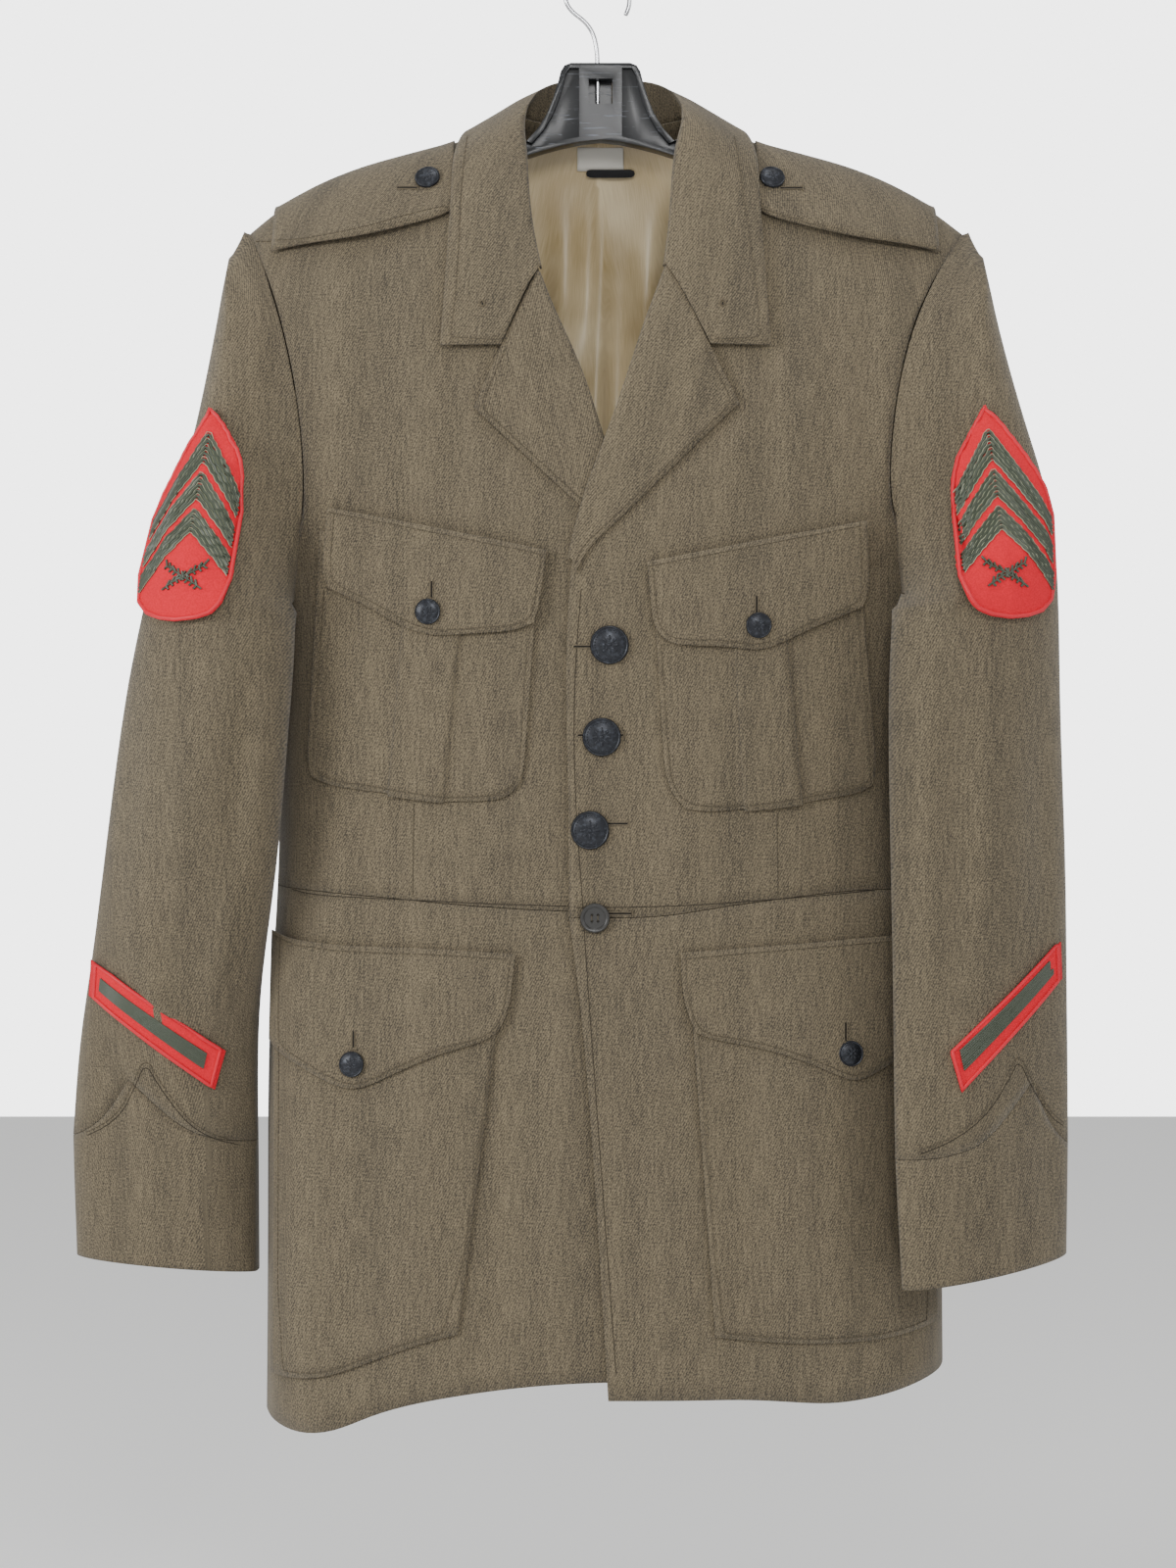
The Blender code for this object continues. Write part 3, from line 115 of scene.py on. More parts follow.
def add_node(tree: bpy.types.NodeTree, kind: str, settings: dict, links: dict) -> bpy.types.Node:
    """Add one shader node with its settings and what feeds it.

    Args:
        tree: the material's nodes.
        kind: Blender's name of the node type.
        settings: attributes by name, and inputs by their place as an int or name after "in:".
        links: input name or place to the output socket that feeds it.

    Returns:
        The new node.
    """
    node = tree.nodes.new(kind)
    for key, value in settings.items():
        if isinstance(key, int):
            node.inputs[key].default_value = value
        elif key.startswith("in:"):
            node.inputs[key[3:]].default_value = value
        else:
            setattr(node, key, value)
    for key, source in links.items():
        tree.links.new(source, node.inputs[key])
    return node


def noise(tree: bpy.types.NodeTree, place: bpy.types.NodeSocket, scale: float, detail: float,
          distortion: float = 0.0) -> bpy.types.NodeSocket:
    """Add a noise pattern.

    Args:
        tree: the material's nodes.
        place: where the pattern is read.
        scale: how fine it is.
        detail: how many finer layers it has.
        distortion: how far it is bent.

    Returns:
        The pattern's socket.
    """
    settings = {"in:Scale": scale, "in:Detail": detail, "in:Distortion": distortion}
    return add_node(tree, "ShaderNodeTexNoise", settings, {"Vector": place}).outputs["Fac"]


def stretched(tree: bpy.types.NodeTree, place: bpy.types.NodeSocket, scale: tuple[float, float, float],
              turn: tuple[float, float, float] = (0.0, 0.0, 0.0)) -> bpy.types.NodeSocket:
    """Stretch and turn the place that a pattern is read from.

    Args:
        tree: the material's nodes.
        place: the place.
        scale: how often the pattern repeats along each axis.
        turn: how far it is turned, in degrees.

    Returns:
        The new place's socket.
    """
    settings = {"in:Scale": scale, "in:Rotation": tuple(math.radians(angle) for angle in turn)}
    return add_node(tree, "ShaderNodeMapping", settings, {"Vector": place}).outputs["Vector"]


def mix_in(tree: bpy.types.NodeTree, pattern: bpy.types.NodeSocket, weight: float,
           base: bpy.types.NodeSocket) -> bpy.types.NodeSocket:
    """Add a weighed pattern to another.

    Args:
        tree: the material's nodes.
        pattern: what is added.
        weight: its weight.
        base: what it is added to.

    Returns:
        The sum's socket.
    """
    return add_node(tree, "ShaderNodeMath", {"operation": "MULTIPLY_ADD", 1: weight},
                    {0: pattern, 2: base}).outputs[0]


def tint(tree: bpy.types.NodeTree, shader: bpy.types.Node, pattern: bpy.types.NodeSocket,
         low: str, high: str, start: float = 0.3, end: float = 0.7) -> None:
    """Colour the surface with two shades spread over a pattern.

    Args:
        tree: the material's nodes.
        shader: its shader.
        pattern: the pattern, from 0 to 1.
        low: the colour where the pattern is low.
        high: the colour where it is high.
        start: the pattern value that still has the low colour.
        end: the pattern value from which the high colour is whole.
    """
    ramp = add_node(tree, "ShaderNodeValToRGB", {}, {"Fac": pattern})
    for element, position, colour in zip(ramp.color_ramp.elements, (start, end), (low, high)):
        element.position = position
        element.color = linear(colour)
    tree.links.new(ramp.outputs["Color"], shader.inputs["Base Color"])


def emboss(tree: bpy.types.NodeTree, shader: bpy.types.Node, height: bpy.types.NodeSocket,
           strength: float, depth_mm: float) -> None:
    """Raise the surface by a pattern.

    Args:
        tree: the material's nodes.
        shader: its shader.
        height: the pattern.
        strength: how much of it shows.
        depth_mm: how deep it is.
    """
    bump = add_node(tree, "ShaderNodeBump", {"in:Strength": strength, "in:Distance": depth_mm * MM},
                    {"Height": height})
    tree.links.new(bump.outputs["Normal"], shader.inputs["Normal"])


@dataclass(frozen=True)
class Finish:
    """A finish: a real material, how its surface was made and how it is seen."""

    name: str
    colour: str
    roughness: float
    metallic: float = 0.0
    sheen: float = 0.0

    def make(self) -> bpy.types.Material:
        """Build the material or return the one already built."""
        if self.name in bpy.data.materials:
            return bpy.data.materials[self.name]
        made = bpy.data.materials.new(self.name)
        made.use_nodes = True
        shader = made.node_tree.nodes["Principled BSDF"]
        shader.inputs["Base Color"].default_value = linear(self.colour)
        shader.inputs["Roughness"].default_value = self.roughness
        shader.inputs["Metallic"].default_value = self.metallic
        shader.inputs["Sheen Weight"].default_value = self.sheen
        self.dress(made.node_tree, shader)
        return made

    @staticmethod
    def place(tree: bpy.types.NodeTree) -> bpy.types.NodeSocket:
        """The place on the object that a pattern is read from."""
        return add_node(tree, "ShaderNodeTexCoord", {}, {}).outputs["Object"]

    @staticmethod
    def cloth_place(tree: bpy.types.NodeTree) -> bpy.types.NodeSocket:
        """The place on the flat cloth, in metres."""
        return add_node(tree, "ShaderNodeUVMap", {"uv_map": "cloth"}, {}).outputs["UV"]

    def dress(self, tree: bpy.types.NodeTree, shader: bpy.types.Node) -> None:
        """Give the shader its pattern. A plain finish gets fine unevenness alone.

        Args:
            tree: the material's nodes.
            shader: its shader.
        """
        emboss(tree, shader, noise(tree, self.place(tree), 900.0, 3.0), 0.15, 0.2)


@dataclass(frozen=True)
class Gabardine(Finish):
    """Wool gabardine, piece-dyed and pressed: steep fine twill lines and a heathered colour."""

    light: str = "776b54"
    twill_mm: float = 1.5  # the real line is about 0.5 mm, drawn coarser so that it shows
    fleck_mm: float = 1.3
    TWILL_DEGREES = 27.0
    WAVE_PERIOD = 0.314    # the spacing of the bands of a wave pattern of scale 1

    def dress(self, tree: bpy.types.NodeTree, shader: bpy.types.Node) -> None:
        """Lay twill lines, flecks and long warp streaks over the piece's own UV map."""
        place = self.cloth_place(tree)
        steep = stretched(tree, place, (1.0, 1.0, 1.0), (0.0, 0.0, self.TWILL_DEGREES))
        twill = add_node(tree, "ShaderNodeTexWave",
                         {"bands_direction": "X", "in:Scale": self.WAVE_PERIOD / (self.twill_mm * MM),
                          "in:Distortion": 1.2, "in:Detail": 2.0, "in:Detail Scale": 3.0},
                         {"Vector": steep}).outputs["Fac"]
        fleck = noise(tree, place, 1 / (self.fleck_mm * MM), 2.0)
        warp = noise(tree, stretched(tree, place, (620.0, 55.0, 1.0)), 1.0, 3.0)
        worn = noise(tree, stretched(tree, place, (38.0, 2.2, 1.0)), 1.0, 2.0)
        mixed = mix_in(tree, twill, 0.2, mix_in(tree, worn, 0.3, mix_in(tree, warp, 0.45, fleck)))
        halved = add_node(tree, "ShaderNodeMath", {"operation": "MULTIPLY", 1: 0.5}, {0: mixed}).outputs[0]
        tint(tree, shader, halved, self.colour, self.light, 0.38, 0.62)
        emboss(tree, shader, mix_in(tree, fleck, 0.6, twill), 0.35, 0.35)


@dataclass(frozen=True)
class Satin(Finish):
    """Rayon satin, woven with long floats: a soft sheen with a faint lengthwise grain."""

    light: str = "eedcb4"

    def dress(self, tree: bpy.types.NodeTree, shader: bpy.types.Node) -> None:
        """Lay a lengthwise grain and slow changes of tint over the piece's own UV map."""
        place = self.cloth_place(tree)
        grain = noise(tree, stretched(tree, place, (1400.0, 60.0, 1.0)), 1.0, 2.0)
        mixed = mix_in(tree, grain, 0.35, noise(tree, place, 14.0, 2.0))
        tint(tree, shader, mixed, self.colour, self.light, 0.45, 0.95)
        emboss(tree, shader, grain, 0.12, 0.2)


@dataclass(frozen=True)
class Felt(Finish):
    """Felted badge cloth: close short fibres with a dull, even colour."""

    light: str = "f0505e"
    fibre_mm: float = 1.1

    def dress(self, tree: bpy.types.NodeTree, shader: bpy.types.Node) -> None:
        """Lay fibre flecks over the piece's place."""
        fibre = noise(tree, self.place(tree), 1 / (self.fibre_mm * MM), 3.0)
        tint(tree, shader, fibre, self.colour, self.light)
        emboss(tree, shader, fibre, 0.5, 0.4)


@dataclass(frozen=True)
class Moulding(Finish):
    """Injection-moulded polystyrene, glossy from its mould, with scratches from use."""

    scratch: str = "6c7078"
    worn_roughness: float = 0.6
    SCRATCHES = ((25, 300.0), (-50, 240.0), (80, 270.0))    # each way's turn and how thin its marks are

    def dress(self, tree: bpy.types.NodeTree, shader: bpy.types.Node) -> None:
        """Draw thin scratches that run many ways, lighter and rougher than the gloss."""
        place = self.place(tree)
        marks = None
        for turn, thin in self.SCRATCHES:
            line = noise(tree, stretched(tree, place, (14.0, 14.0, thin), (0.0, turn, 0.0)), 3.0, 3.0, 0.6)
            mark = add_node(tree, "ShaderNodeMapRange", {"in:From Min": 0.66, "in:From Max": 0.72},
                            {"Value": line}).outputs["Result"]
            marks = mark if marks is None else add_node(
                tree, "ShaderNodeMath", {"operation": "MAXIMUM"}, {0: marks, 1: mark}).outputs[0]
        tint(tree, shader, marks, self.colour, self.scratch, 0.1, 1.0)
        rough = add_node(tree, "ShaderNodeMapRange",
                         {"in:To Min": self.roughness, "in:To Max": self.worn_roughness}, {"Value": marks})
        tree.links.new(rough.outputs["Result"], shader.inputs["Roughness"])


@dataclass(frozen=True)
class OxidisedBrass(Finish):
    """Die-struck brass, blackened: a dark skin with paler rubbed high places."""

    rubbed: str = "444850"

    def dress(self, tree: bpy.types.NodeTree, shader: bpy.types.Node) -> None:
        """Rub the skin unevenly."""
        skin = noise(tree, self.place(tree), 420.0, 4.0)
        tint(tree, shader, skin, self.colour, self.rubbed, 0.5, 0.85)
        emboss(tree, shader, skin, 0.25, 0.2)


WOOL = Gabardine("gabardine wool, piece-dyed", "342e23", 0.88, sheen=0.1)
LINING = Satin("rayon satin, woven", "b39c70", 0.34, sheen=0.2)
RED_FELT = Felt("badge felt, pressed", "c00016", 0.85, light="d80426")
RED_EDGE = Finish("rayon edging, overlocked", "c80020", 0.5)
GREEN_THREAD = Finish("rayon embroidery, green", "3b4234", 0.42)
PIPING_THREAD = Finish("rayon piping, pale green", "8c9078", 0.5)
SEWING_THREAD = Finish("sewing thread, olive", "4a4232", 0.7)
SEAM_SHADE = Finish("shade in a pressed seam", "2a2419", 0.9)
SLOT_THREAD = Finish("buttonhole twist, olive", "554b38", 0.65)
SLOT_DARK = Finish("shade inside a buttonhole", "16130e", 0.9)
LABEL_TAPE = Finish("cotton tape, white", "e6e2d8", 0.8)
BLACK_TAPE = Finish("twill tape, black", "17171a", 0.8)
BUTTON_BRASS = OxidisedBrass("oxidised brass, die-struck", "23252a", 0.38, metallic=0.55)
BUTTON_RESIN = Finish("button resin, pressed", "2c2b29", 0.34)
HANGER_PLASTIC = Moulding("polystyrene, moulded", "0d0f12", 0.34)
HOOK_WIRE = Finish("steel wire, nickel-plated", "c8c9cc", 0.16, metallic=1.0)
FLOOR = Finish("paper, white", "f8f8f7", 0.9)


def alone(obj: bpy.types.Object) -> bpy.types.Object:
    """Select one object and nothing else, in object mode.

    Args:
        obj: the object.

    Returns:
        The same object, now active.
    """
    if bpy.context.mode != "OBJECT":
        bpy.ops.object.mode_set(mode="OBJECT")
    bpy.ops.object.select_all(action="DESELECT")
    obj.select_set(True)
    bpy.context.view_layer.objects.active = obj
    return obj


def placed(name: str, data: bpy.types.ID) -> bpy.types.Object:
    """Put new data into the scene as the one selected object.

    Args:
        name: the object's name.
        data: its mesh, curve, camera or lamp.

    Returns:
        The object.
    """
    obj = bpy.data.objects.new(name, data)
    bpy.context.scene.collection.objects.link(obj)
    return alone(obj)


def apply_modifier(obj: bpy.types.Object, kind: str, **settings: object) -> None:
    """Change a mesh with one modifier.

    Args:
        obj: the object.
        kind: Blender's name of the modifier type.
        settings: its settings by name.
    """
    modifier = obj.modifiers.new(kind.title(), kind)
    for key, value in settings.items():
        setattr(modifier, key, value)
    alone(obj)
    bpy.ops.object.modifier_apply(modifier=modifier.name)


def smooth_by(obj: bpy.types.Object, degrees: float) -> None:
    """Shade an object smooth, but for its sharper edges.

    Args:
        obj: the object.
        degrees: the least angle of an edge that stays sharp.
    """
    alone(obj)
    bpy.ops.object.shade_smooth_by_angle(angle=math.radians(degrees))


def settle(obj: bpy.types.Object) -> bpy.types.Object:
    """Put an object's place into its mesh.

    Args:
        obj: the object.

    Returns:
        The same object, at the origin, unturned and unscaled.
    """
    alone(obj)
    bpy.ops.object.transform_apply(location=True, rotation=True, scale=True)
    return obj


def hand_over(obj: bpy.types.Object, finish: Finish) -> bpy.types.Object:
    """Give a finished piece its material and the body it rides on.

    Args:
        obj: the piece.
        finish: what it is made of.

    Returns:
        The same piece.
    """
    obj.data.materials.clear()
    obj.data.materials.append(finish.make())
    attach(obj, "root")
    return obj


def copy_of(node: str, name: str) -> bpy.types.Object:
    """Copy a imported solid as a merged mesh.

    Args:
        node: the solid's name.
        name: the copy's name.

    Returns:
        The copy, with its triangles joined to quads.
    """
    mesh = frame["nodes"][node].data.copy()
    mesh.name = name
    obj = placed(name, mesh)
    bpy.ops.object.mode_set(mode="EDIT")
    bpy.ops.mesh.select_all(action="SELECT")
    bpy.ops.mesh.remove_doubles(threshold=0.00001)
    bpy.ops.mesh.tris_convert_to_quads(face_threshold=math.radians(60), shape_threshold=math.pi)
    bpy.ops.object.mode_set(mode="OBJECT")
    return obj


def points_of(obj: bpy.types.Object) -> np.ndarray:
    """A mesh's points in millimetres, as rows of x, y and z."""
    flat = np.empty(len(obj.data.vertices) * 3)
    obj.data.vertices.foreach_get("co", flat)
    return flat.reshape(-1, 3) / MM


def set_points(obj: bpy.types.Object, points: np.ndarray) -> None:
    """Move a mesh's points.

    Args:
        obj: the piece.
        points: rows of x, y and z in millimetres.
    """
    obj.data.vertices.foreach_set("co", (points * MM).ravel())
    obj.data.update()


@dataclass(frozen=True)
class Fold:
    """A soft fold or hollow of hanging cloth, along a line as seen from the front."""

    start: Point
    end: Point
    width: float
    height: float
    FADE = 3.0    # it rises over this fraction of its length at each end

    def lift(self, x: np.ndarray, z: np.ndarray) -> np.ndarray:
        """How far the fold stands out.

        Args:
            x: places across, in mm.
            z: places up, in mm.

        Returns:
            The heights, in mm.
        """
        (x0, z0), (x1, z1) = self.start, self.end
        long = math.hypot(x1 - x0, z1 - z0)
        along = ((x - x0) * (x1 - x0) + (z - z0) * (z1 - z0)) / long**2
        off = ((x - x0) * (z1 - z0) - (z - z0) * (x1 - x0)) / long
        ends = np.clip(along * self.FADE, 0, 1) * np.clip((1 - along) * self.FADE, 0, 1)
        return self.height * ends**2 * (3 - 2 * ends) * np.exp(-((off / self.width) ** 2))


@dataclass
class Drape:
    """How one region of the coat hangs: its folds and where they fade."""

    middle_x: float
    middle_y: float
    reach: float
    folds: list[Fold]
    faces: int = -1
    FADE_DEPTH = 26.0

    def move(self, points: np.ndarray) -> np.ndarray:
        """Move points of the cloth out along Y by the folds over them.

        Args:
            points: rows of x, y and z in mm.

        Returns:
            The moved points.
        """
        height = sum(fold.lift(points[:, 0], points[:, 2]) for fold in self.folds)
        across = np.clip(np.abs(points[:, 0] - self.middle_x) / self.reach, 0, 1)
        ahead = np.clip(self.faces * (points[:, 1] - self.middle_y) / self.FADE_DEPTH, 0, 1)
        moved = points.copy()
        moved[:, 1] += self.faces * height * (1 - across**4) * ahead
        return moved


FRONT_DRAPE = Drape(5.0, -14.0, 226.0, [
    Fold((-186, -150), (-170, -372), 13, 2.6),
    Fold((-158, -160), (-146, -378), 9, -1.8),
    Fold((-128, -170), (-112, -385), 12, 2.2),
    Fold((-95, -245), (-88, -392), 9, -1.5),
    Fold((-58, -330), (-45, -620), 13, 1.6),
    Fold((-196, -430), (-200, -640), 10, 2.0),
    Fold((150, -170), (130, -384), 14, 2.4),
    Fold((184, -180), (176, -372), 10, -2.0),
    Fold((110, -250), (78, -398), 12, 1.7),
    Fold((196, -430), (203, -625), 12, -2.2),
    Fold((70, -560), (40, -632), 14, 2.0),
    Fold((-40, -560), (-90, -628), 16, 1.6),
    Fold((-190, -640), (-200, -985), 20, 3.4),
    Fold((-150, -700), (-158, -990), 16, -2.2),
    Fold((-112, -650), (-120, -960), 22, 2.6),
    Fold((-60, -640), (-72, -960), 15, -2.4),
    Fold((-24, -650), (-30, -960), 14, 2.0),
    Fold((40, -640), (52, -960), 20, 2.6),
    Fold((92, -690), (104, -965), 16, -2.2),
    Fold((150, -640), (160, -965), 22, 3.0),
    Fold((196, -650), (206, -960), 12, -2.6),
])
BACK_DRAPE = Drape(5.0, 14.0, 226.0, [
    Fold((-120, -190), (-80, -520), 30, 2.4),
    Fold((125, -190), (85, -520), 30, 2.4),
    Fold((-150, -600), (-170, -960), 24, 3.0),
    Fold((-60, -640), (-66, -960), 24, -2.4),
    Fold((70, -620), (80, -950), 26, 3.0),
    Fold((165, -600), (185, -940), 22, -2.4),
    Fold((-40, -580), (60, -640), 16, 2.0),
], faces=1)
SLEEVE_DRAPES = {
    Side.LEFT: Drape(-262.0, 12.0, 105.0, [
        Fold((-222, -200), (-236, -330), 14, 2.6),
        Fold((-205, -300), (-222, -430), 9, -3.0),
        Fold((-250, -470), (-280, -640), 16, 4.0),
        Fold((-218, -440), (-244, -640), 10, -3.6),
        Fold((-300, -470), (-318, -660), 12, -3.4),
        Fold((-232, -600), (-262, -720), 10, 3.6),
        Fold((-306, -640), (-282, -760), 12, 3.0),
        Fold((-330, -700), (-322, -860), 14, -2.4),
        Fold((-252, -740), (-262, -870), 12, 2.4),
    ]),
    Side.RIGHT: Drape(262.0, -20.0, 105.0, [
        Fold((214, -210), (226, -340), 12, 2.6),
        Fold((198, -360), (212, -452), 7, -4.2),
        Fold((212, -380), (236, -440), 8, 3.4),
        Fold((204, -450), (214, -700), 10, 4.2),
        Fold((228, -470), (236, -720), 10, -3.4),
        Fold((262, -480), (262, -660), 18, 3.4),
        Fold((288, -470), (292, -700), 10, -3.0),
        Fold((246, -690), (262, -860), 14, 2.6),
        Fold((292, -720), (298, -860), 12, -2.4),
    ]),
}


HALF_DEPTH = 46.0    # a wrapped form is laid out as this deep on each side of its middle
BACK_SHIFT = 4.0     # keeps the pattern at the back from repeating the one at the front


def wrap_map(points: np.ndarray, middle_x: float) -> np.ndarray:
    """Lay cloth out flat: how far round and how far up each point is.

    Args:
        points: rows of x, y and z in mm.
        middle_x: the middle of the wrapped form across.

    Returns:
        Rows of u and v in metres.
    """
    x, y = points[:, 0] - middle_x, points[:, 1]
    front = np.where(y < 0, -1.0, 1.0)
    round_it = np.sign(x) * (np.abs(x) + np.maximum(0, HALF_DEPTH - np.abs(y)))
    return np.stack([round_it * MM, (points[:, 2] + BACK_SHIFT * front) * MM], axis=1)


@dataclass
class ClothPiece:
    """A cut piece of cloth: its solid made smooth, hung and woven.

    flat is the width and length it was cut to and area its flat area, in millimetres; nothing in the script
    reads them.
    """

    node: str
    flat: Point
    area: float
    drape: Drape | None = None
    finish: Finish = WOOL
    slot: Slot = Slot.WOOL
    levels: int = 2
    rests_on: tuple[str, ...] = ("hanger_body",)
    shape: Callable[[np.ndarray], np.ndarray] | None = None
    grain: float = 0.0
    CREASE_ANGLE = math.radians(48)
    CORNER_ANGLE = math.radians(38)

    def build(self) -> bpy.types.Object:
        """Returns:
            The piece.
        """
        obj = copy_of(self.node, f"cloth_{self.node}")
        self.hold_edges(obj)
        apply_modifier(obj, "SUBSURF", levels=self.levels, render_levels=self.levels)
        points = points_of(obj)
        if self.drape is not None:
            points = self.drape.move(points)
        if self.shape is not None:
            points = self.shape(points)
        set_points(obj, points)
        self.lay_out(obj)
        smooth_by(obj, 50)
        hand_over(obj, self.finish)
        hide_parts(self.node)
        LOG.info("cloth piece %s: %d faces", obj.name, len(obj.data.polygons))
        return obj

    def hold_edges(self, obj: bpy.types.Object) -> None:
        """Keep the cut edges and their corners crisp when the piece is smoothed.

        Args:
            obj: the merged copy of the solid.
        """
        mesh = obj.data
        sides: dict[tuple[int, int], list[Vector]] = {}
        for face in mesh.polygons:
            for key in face.edge_keys:
                sides.setdefault(key, []).append(face.normal)
        creased = [len(sides[edge.key]) == 2 and sides[edge.key][0].angle(sides[edge.key][1], 0.0)
                   > self.CREASE_ANGLE for edge in mesh.edges]
        meets: dict[int, list[Vector]] = {}
        for edge, sharp in zip(mesh.edges, creased):
            if sharp:
                first, second = (mesh.vertices[i].co for i in edge.vertices)
                meets.setdefault(edge.vertices[0], []).append((second - first).normalized())
                meets.setdefault(edge.vertices[1], []).append((first - second).normalized())
        edge_crease = mesh.attributes.new("crease_edge", "FLOAT", "EDGE")
        edge_crease.data.foreach_set("value", [float(sharp) for sharp in creased])
        corner = np.zeros(len(mesh.vertices), np.float32)
        for index, ways in meets.items():
            turn = math.pi - ways[0].angle(ways[1]) if len(ways) == 2 else math.pi
            corner[index] = float(turn > self.CORNER_ANGLE)
        point_crease = mesh.attributes.new("crease_vert", "FLOAT", "POINT")
        point_crease.data.foreach_set("value", corner)

    def lay_out(self, obj: bpy.types.Object) -> None:
        """Give the piece a UV map in metres of its own cloth, turned to its grain.

        Args:
            obj: the piece.
        """
        mesh = obj.data
        for old in list(mesh.uv_layers):
            mesh.uv_layers.remove(old)
        layer = mesh.uv_layers.new(name="cloth")
        points = points_of(obj)
        flat = wrap_map(points, self.drape.middle_x if self.drape is not None else 0.0)
        turn = math.radians(self.grain)
        turned = np.stack([flat[:, 0] * math.cos(turn) - flat[:, 1] * math.sin(turn),
                           flat[:, 0] * math.sin(turn) + flat[:, 1] * math.cos(turn)], axis=1)
        corners = np.empty(len(mesh.loops), np.int32)
        mesh.loops.foreach_get("vertex_index", corners)
        layer.uv.foreach_set("vector", turned[corners].ravel())


@dataclass
class Surface:
    """The dressed pieces that something is sewn on, for finding places on them."""

    objects: list[bpy.types.Object]
    tree: BVHTree = field(init=False)
    FAR = 600.0

    def __post_init__(self) -> None:
        """Gather the pieces into one search tree."""
        corners: list[Vector] = []
        faces: list[tuple[int, ...]] = []
        for obj in self.objects:
            start = len(corners)
            corners += [vertex.co.copy() for vertex in obj.data.vertices]
            faces += [tuple(start + i for i in face.vertices) for face in obj.data.polygons]
        self.tree = BVHTree.FromPolygons(corners, faces)

    def ahead(self, x: float, z: float, lift: float = 0.0) -> Vector | None:
        """Find the front of the pieces.

        Args:
            x: place across, in mm.
            z: place up, in mm.
            lift: how far off the cloth, in mm.

        Returns:
            The point in metres, or None where there is no cloth.
        """
        spot, normal, _, _ = self.tree.ray_cast(Vector((x, -self.FAR, z)) * MM, Vector((0, 1, 0)))
        if spot is None:
            return None
        return spot + (normal if normal.y < 0 else -normal) * lift * MM

def spread(corners: Sequence[Point], step: float) -> list[Point]:
    """Space points evenly along a line.

    Args:
        corners: its corners, in mm.
        step: the spacing, in mm.

    Returns:
        The points.
    """
    line = np.array(corners, float)
    run = np.concatenate([[0], np.cumsum(np.hypot(*np.diff(line, axis=0).T))])
    places = np.arange(0, run[-1], step)
    return [(float(np.interp(p, run, line[:, 0])), float(np.interp(p, run, line[:, 1]))) for p in places]


def rounded(corners: Sequence[Point], rounds: int = 2) -> list[Point]:
    """Round a line's corners by cutting them, with its ends kept.

    Args:
        corners: its corners.
        rounds: how often they are cut.

    Returns:
        The rounded line.
    """
    line = [np.array(c, float) for c in corners]
    for _ in range(rounds):
        cut = [line[0]]
        for a, b in zip(line, line[1:]):
            cut += [a * 0.75 + b * 0.25, a * 0.25 + b * 0.75]
        line = cut + [line[-1]]
    return [(float(p[0]), float(p[1])) for p in line]


def threads(name: str, runs: list[Run], radius: float, finish: Finish,
            sides: int = 0, closed: bool = False) -> bpy.types.Object:
    """Make round threads along lines, as one piece.

    Args:
        name: the piece's name.
        runs: each thread's points in metres.
        radius: the thread's radius in mm.
        finish: what it is made of.
        sides: 0 for 4 sides, 1 for 6 and 2 for 8.
        closed: whether each thread is a ring.

    Returns:
        The piece.
    """
    curve = bpy.data.curves.new(name, "CURVE")
    curve.dimensions = "3D"
    curve.bevel_depth = radius * MM
    curve.bevel_resolution = sides
    curve.use_fill_caps = not closed
    for run in runs:
        if len(run) < 2:
            continue
        line = curve.splines.new("POLY")
        line.points.add(len(run) - 1)
        for place, point in zip(line.points, run):
            place.co = (*point, 1.0)
        line.use_cyclic_u = closed
    placed(name, curve)
    bpy.ops.object.convert(target="MESH")
    obj = bpy.context.object
    obj.name = name
    smooth_by(obj, 60)
    return hand_over(obj, finish)


@dataclass(frozen=True)
class Seat:
    """Where a small round thing sits: its middle in metres and three unit vectors."""

    middle: Vector
    right: Vector
    up: Vector
    out: Vector

    @classmethod
    def on(cls, middle: Vector, out: Vector) -> "Seat":
        """Build a seat from the way that it faces.

        Args:
            middle: its middle, in metres.
            out: the unit vector away from the cloth.

        Returns:
            The seat, with its right to the picture's right and its up upwards.
        """
        right = Vector((0, 0, 1)).cross(out)
        right = right.normalized() if right.length > 0.01 else Vector((1, 0, 0))
        if right.x < 0:
            right = -right
        up = out.cross(right).normalized()
        return cls(middle, right, up if up.z >= 0 else -up, out)

    def at(self, right: float, up: float, out: float) -> Vector:
        """A place beside the middle, its distances in mm and itself in metres."""
        return self.middle + (self.right * right + self.up * up + self.out * out) * MM

    def round_it(self, angle: float, far: float, out: float) -> Vector:
        """A place round the middle, at an angle in radians and distances in mm."""
        return self.at(math.cos(angle) * far, math.sin(angle) * far, out)


STITCH_BOW = 0.12    # how far a stitch's middle stands off between its ends, in mm


def dashes(surface: Surface, corners: Sequence[Point], lift: float = 0.15, stitch: float = 3.0,
           gap: float = 1.0, smooth: int = 0) -> list[Run]:
    """Lay a row of stitches on the cloth.

    Args:
        surface: the cloth.
        corners: the row's corners as seen from the front, in mm.
        lift: how far the thread's middle stands off, in mm.
        stitch: the length of a stitch.
        gap: the gap between two.
        smooth: how often the row's corners are cut.

    Returns:
        Each stitch's points in metres.
    """
    starts = spread(rounded(corners, smooth), stitch + gap)
    rows: list[Run] = []
    for (x0, z0), (x1, z1) in zip(starts, starts[1:]):
        share = stitch / (stitch + gap)
        first = surface.ahead(x0, z0, lift)
        last = surface.ahead(x0 + (x1 - x0) * share, z0 + (z1 - z0) * share, lift)
        if first is None or last is None or (first - last).length > 3 * stitch * MM:
            continue
        middle = (first + last) / 2 + Vector((0, -STITCH_BOW, 0)) * MM
        rows.append([first, middle, last])
    return rows


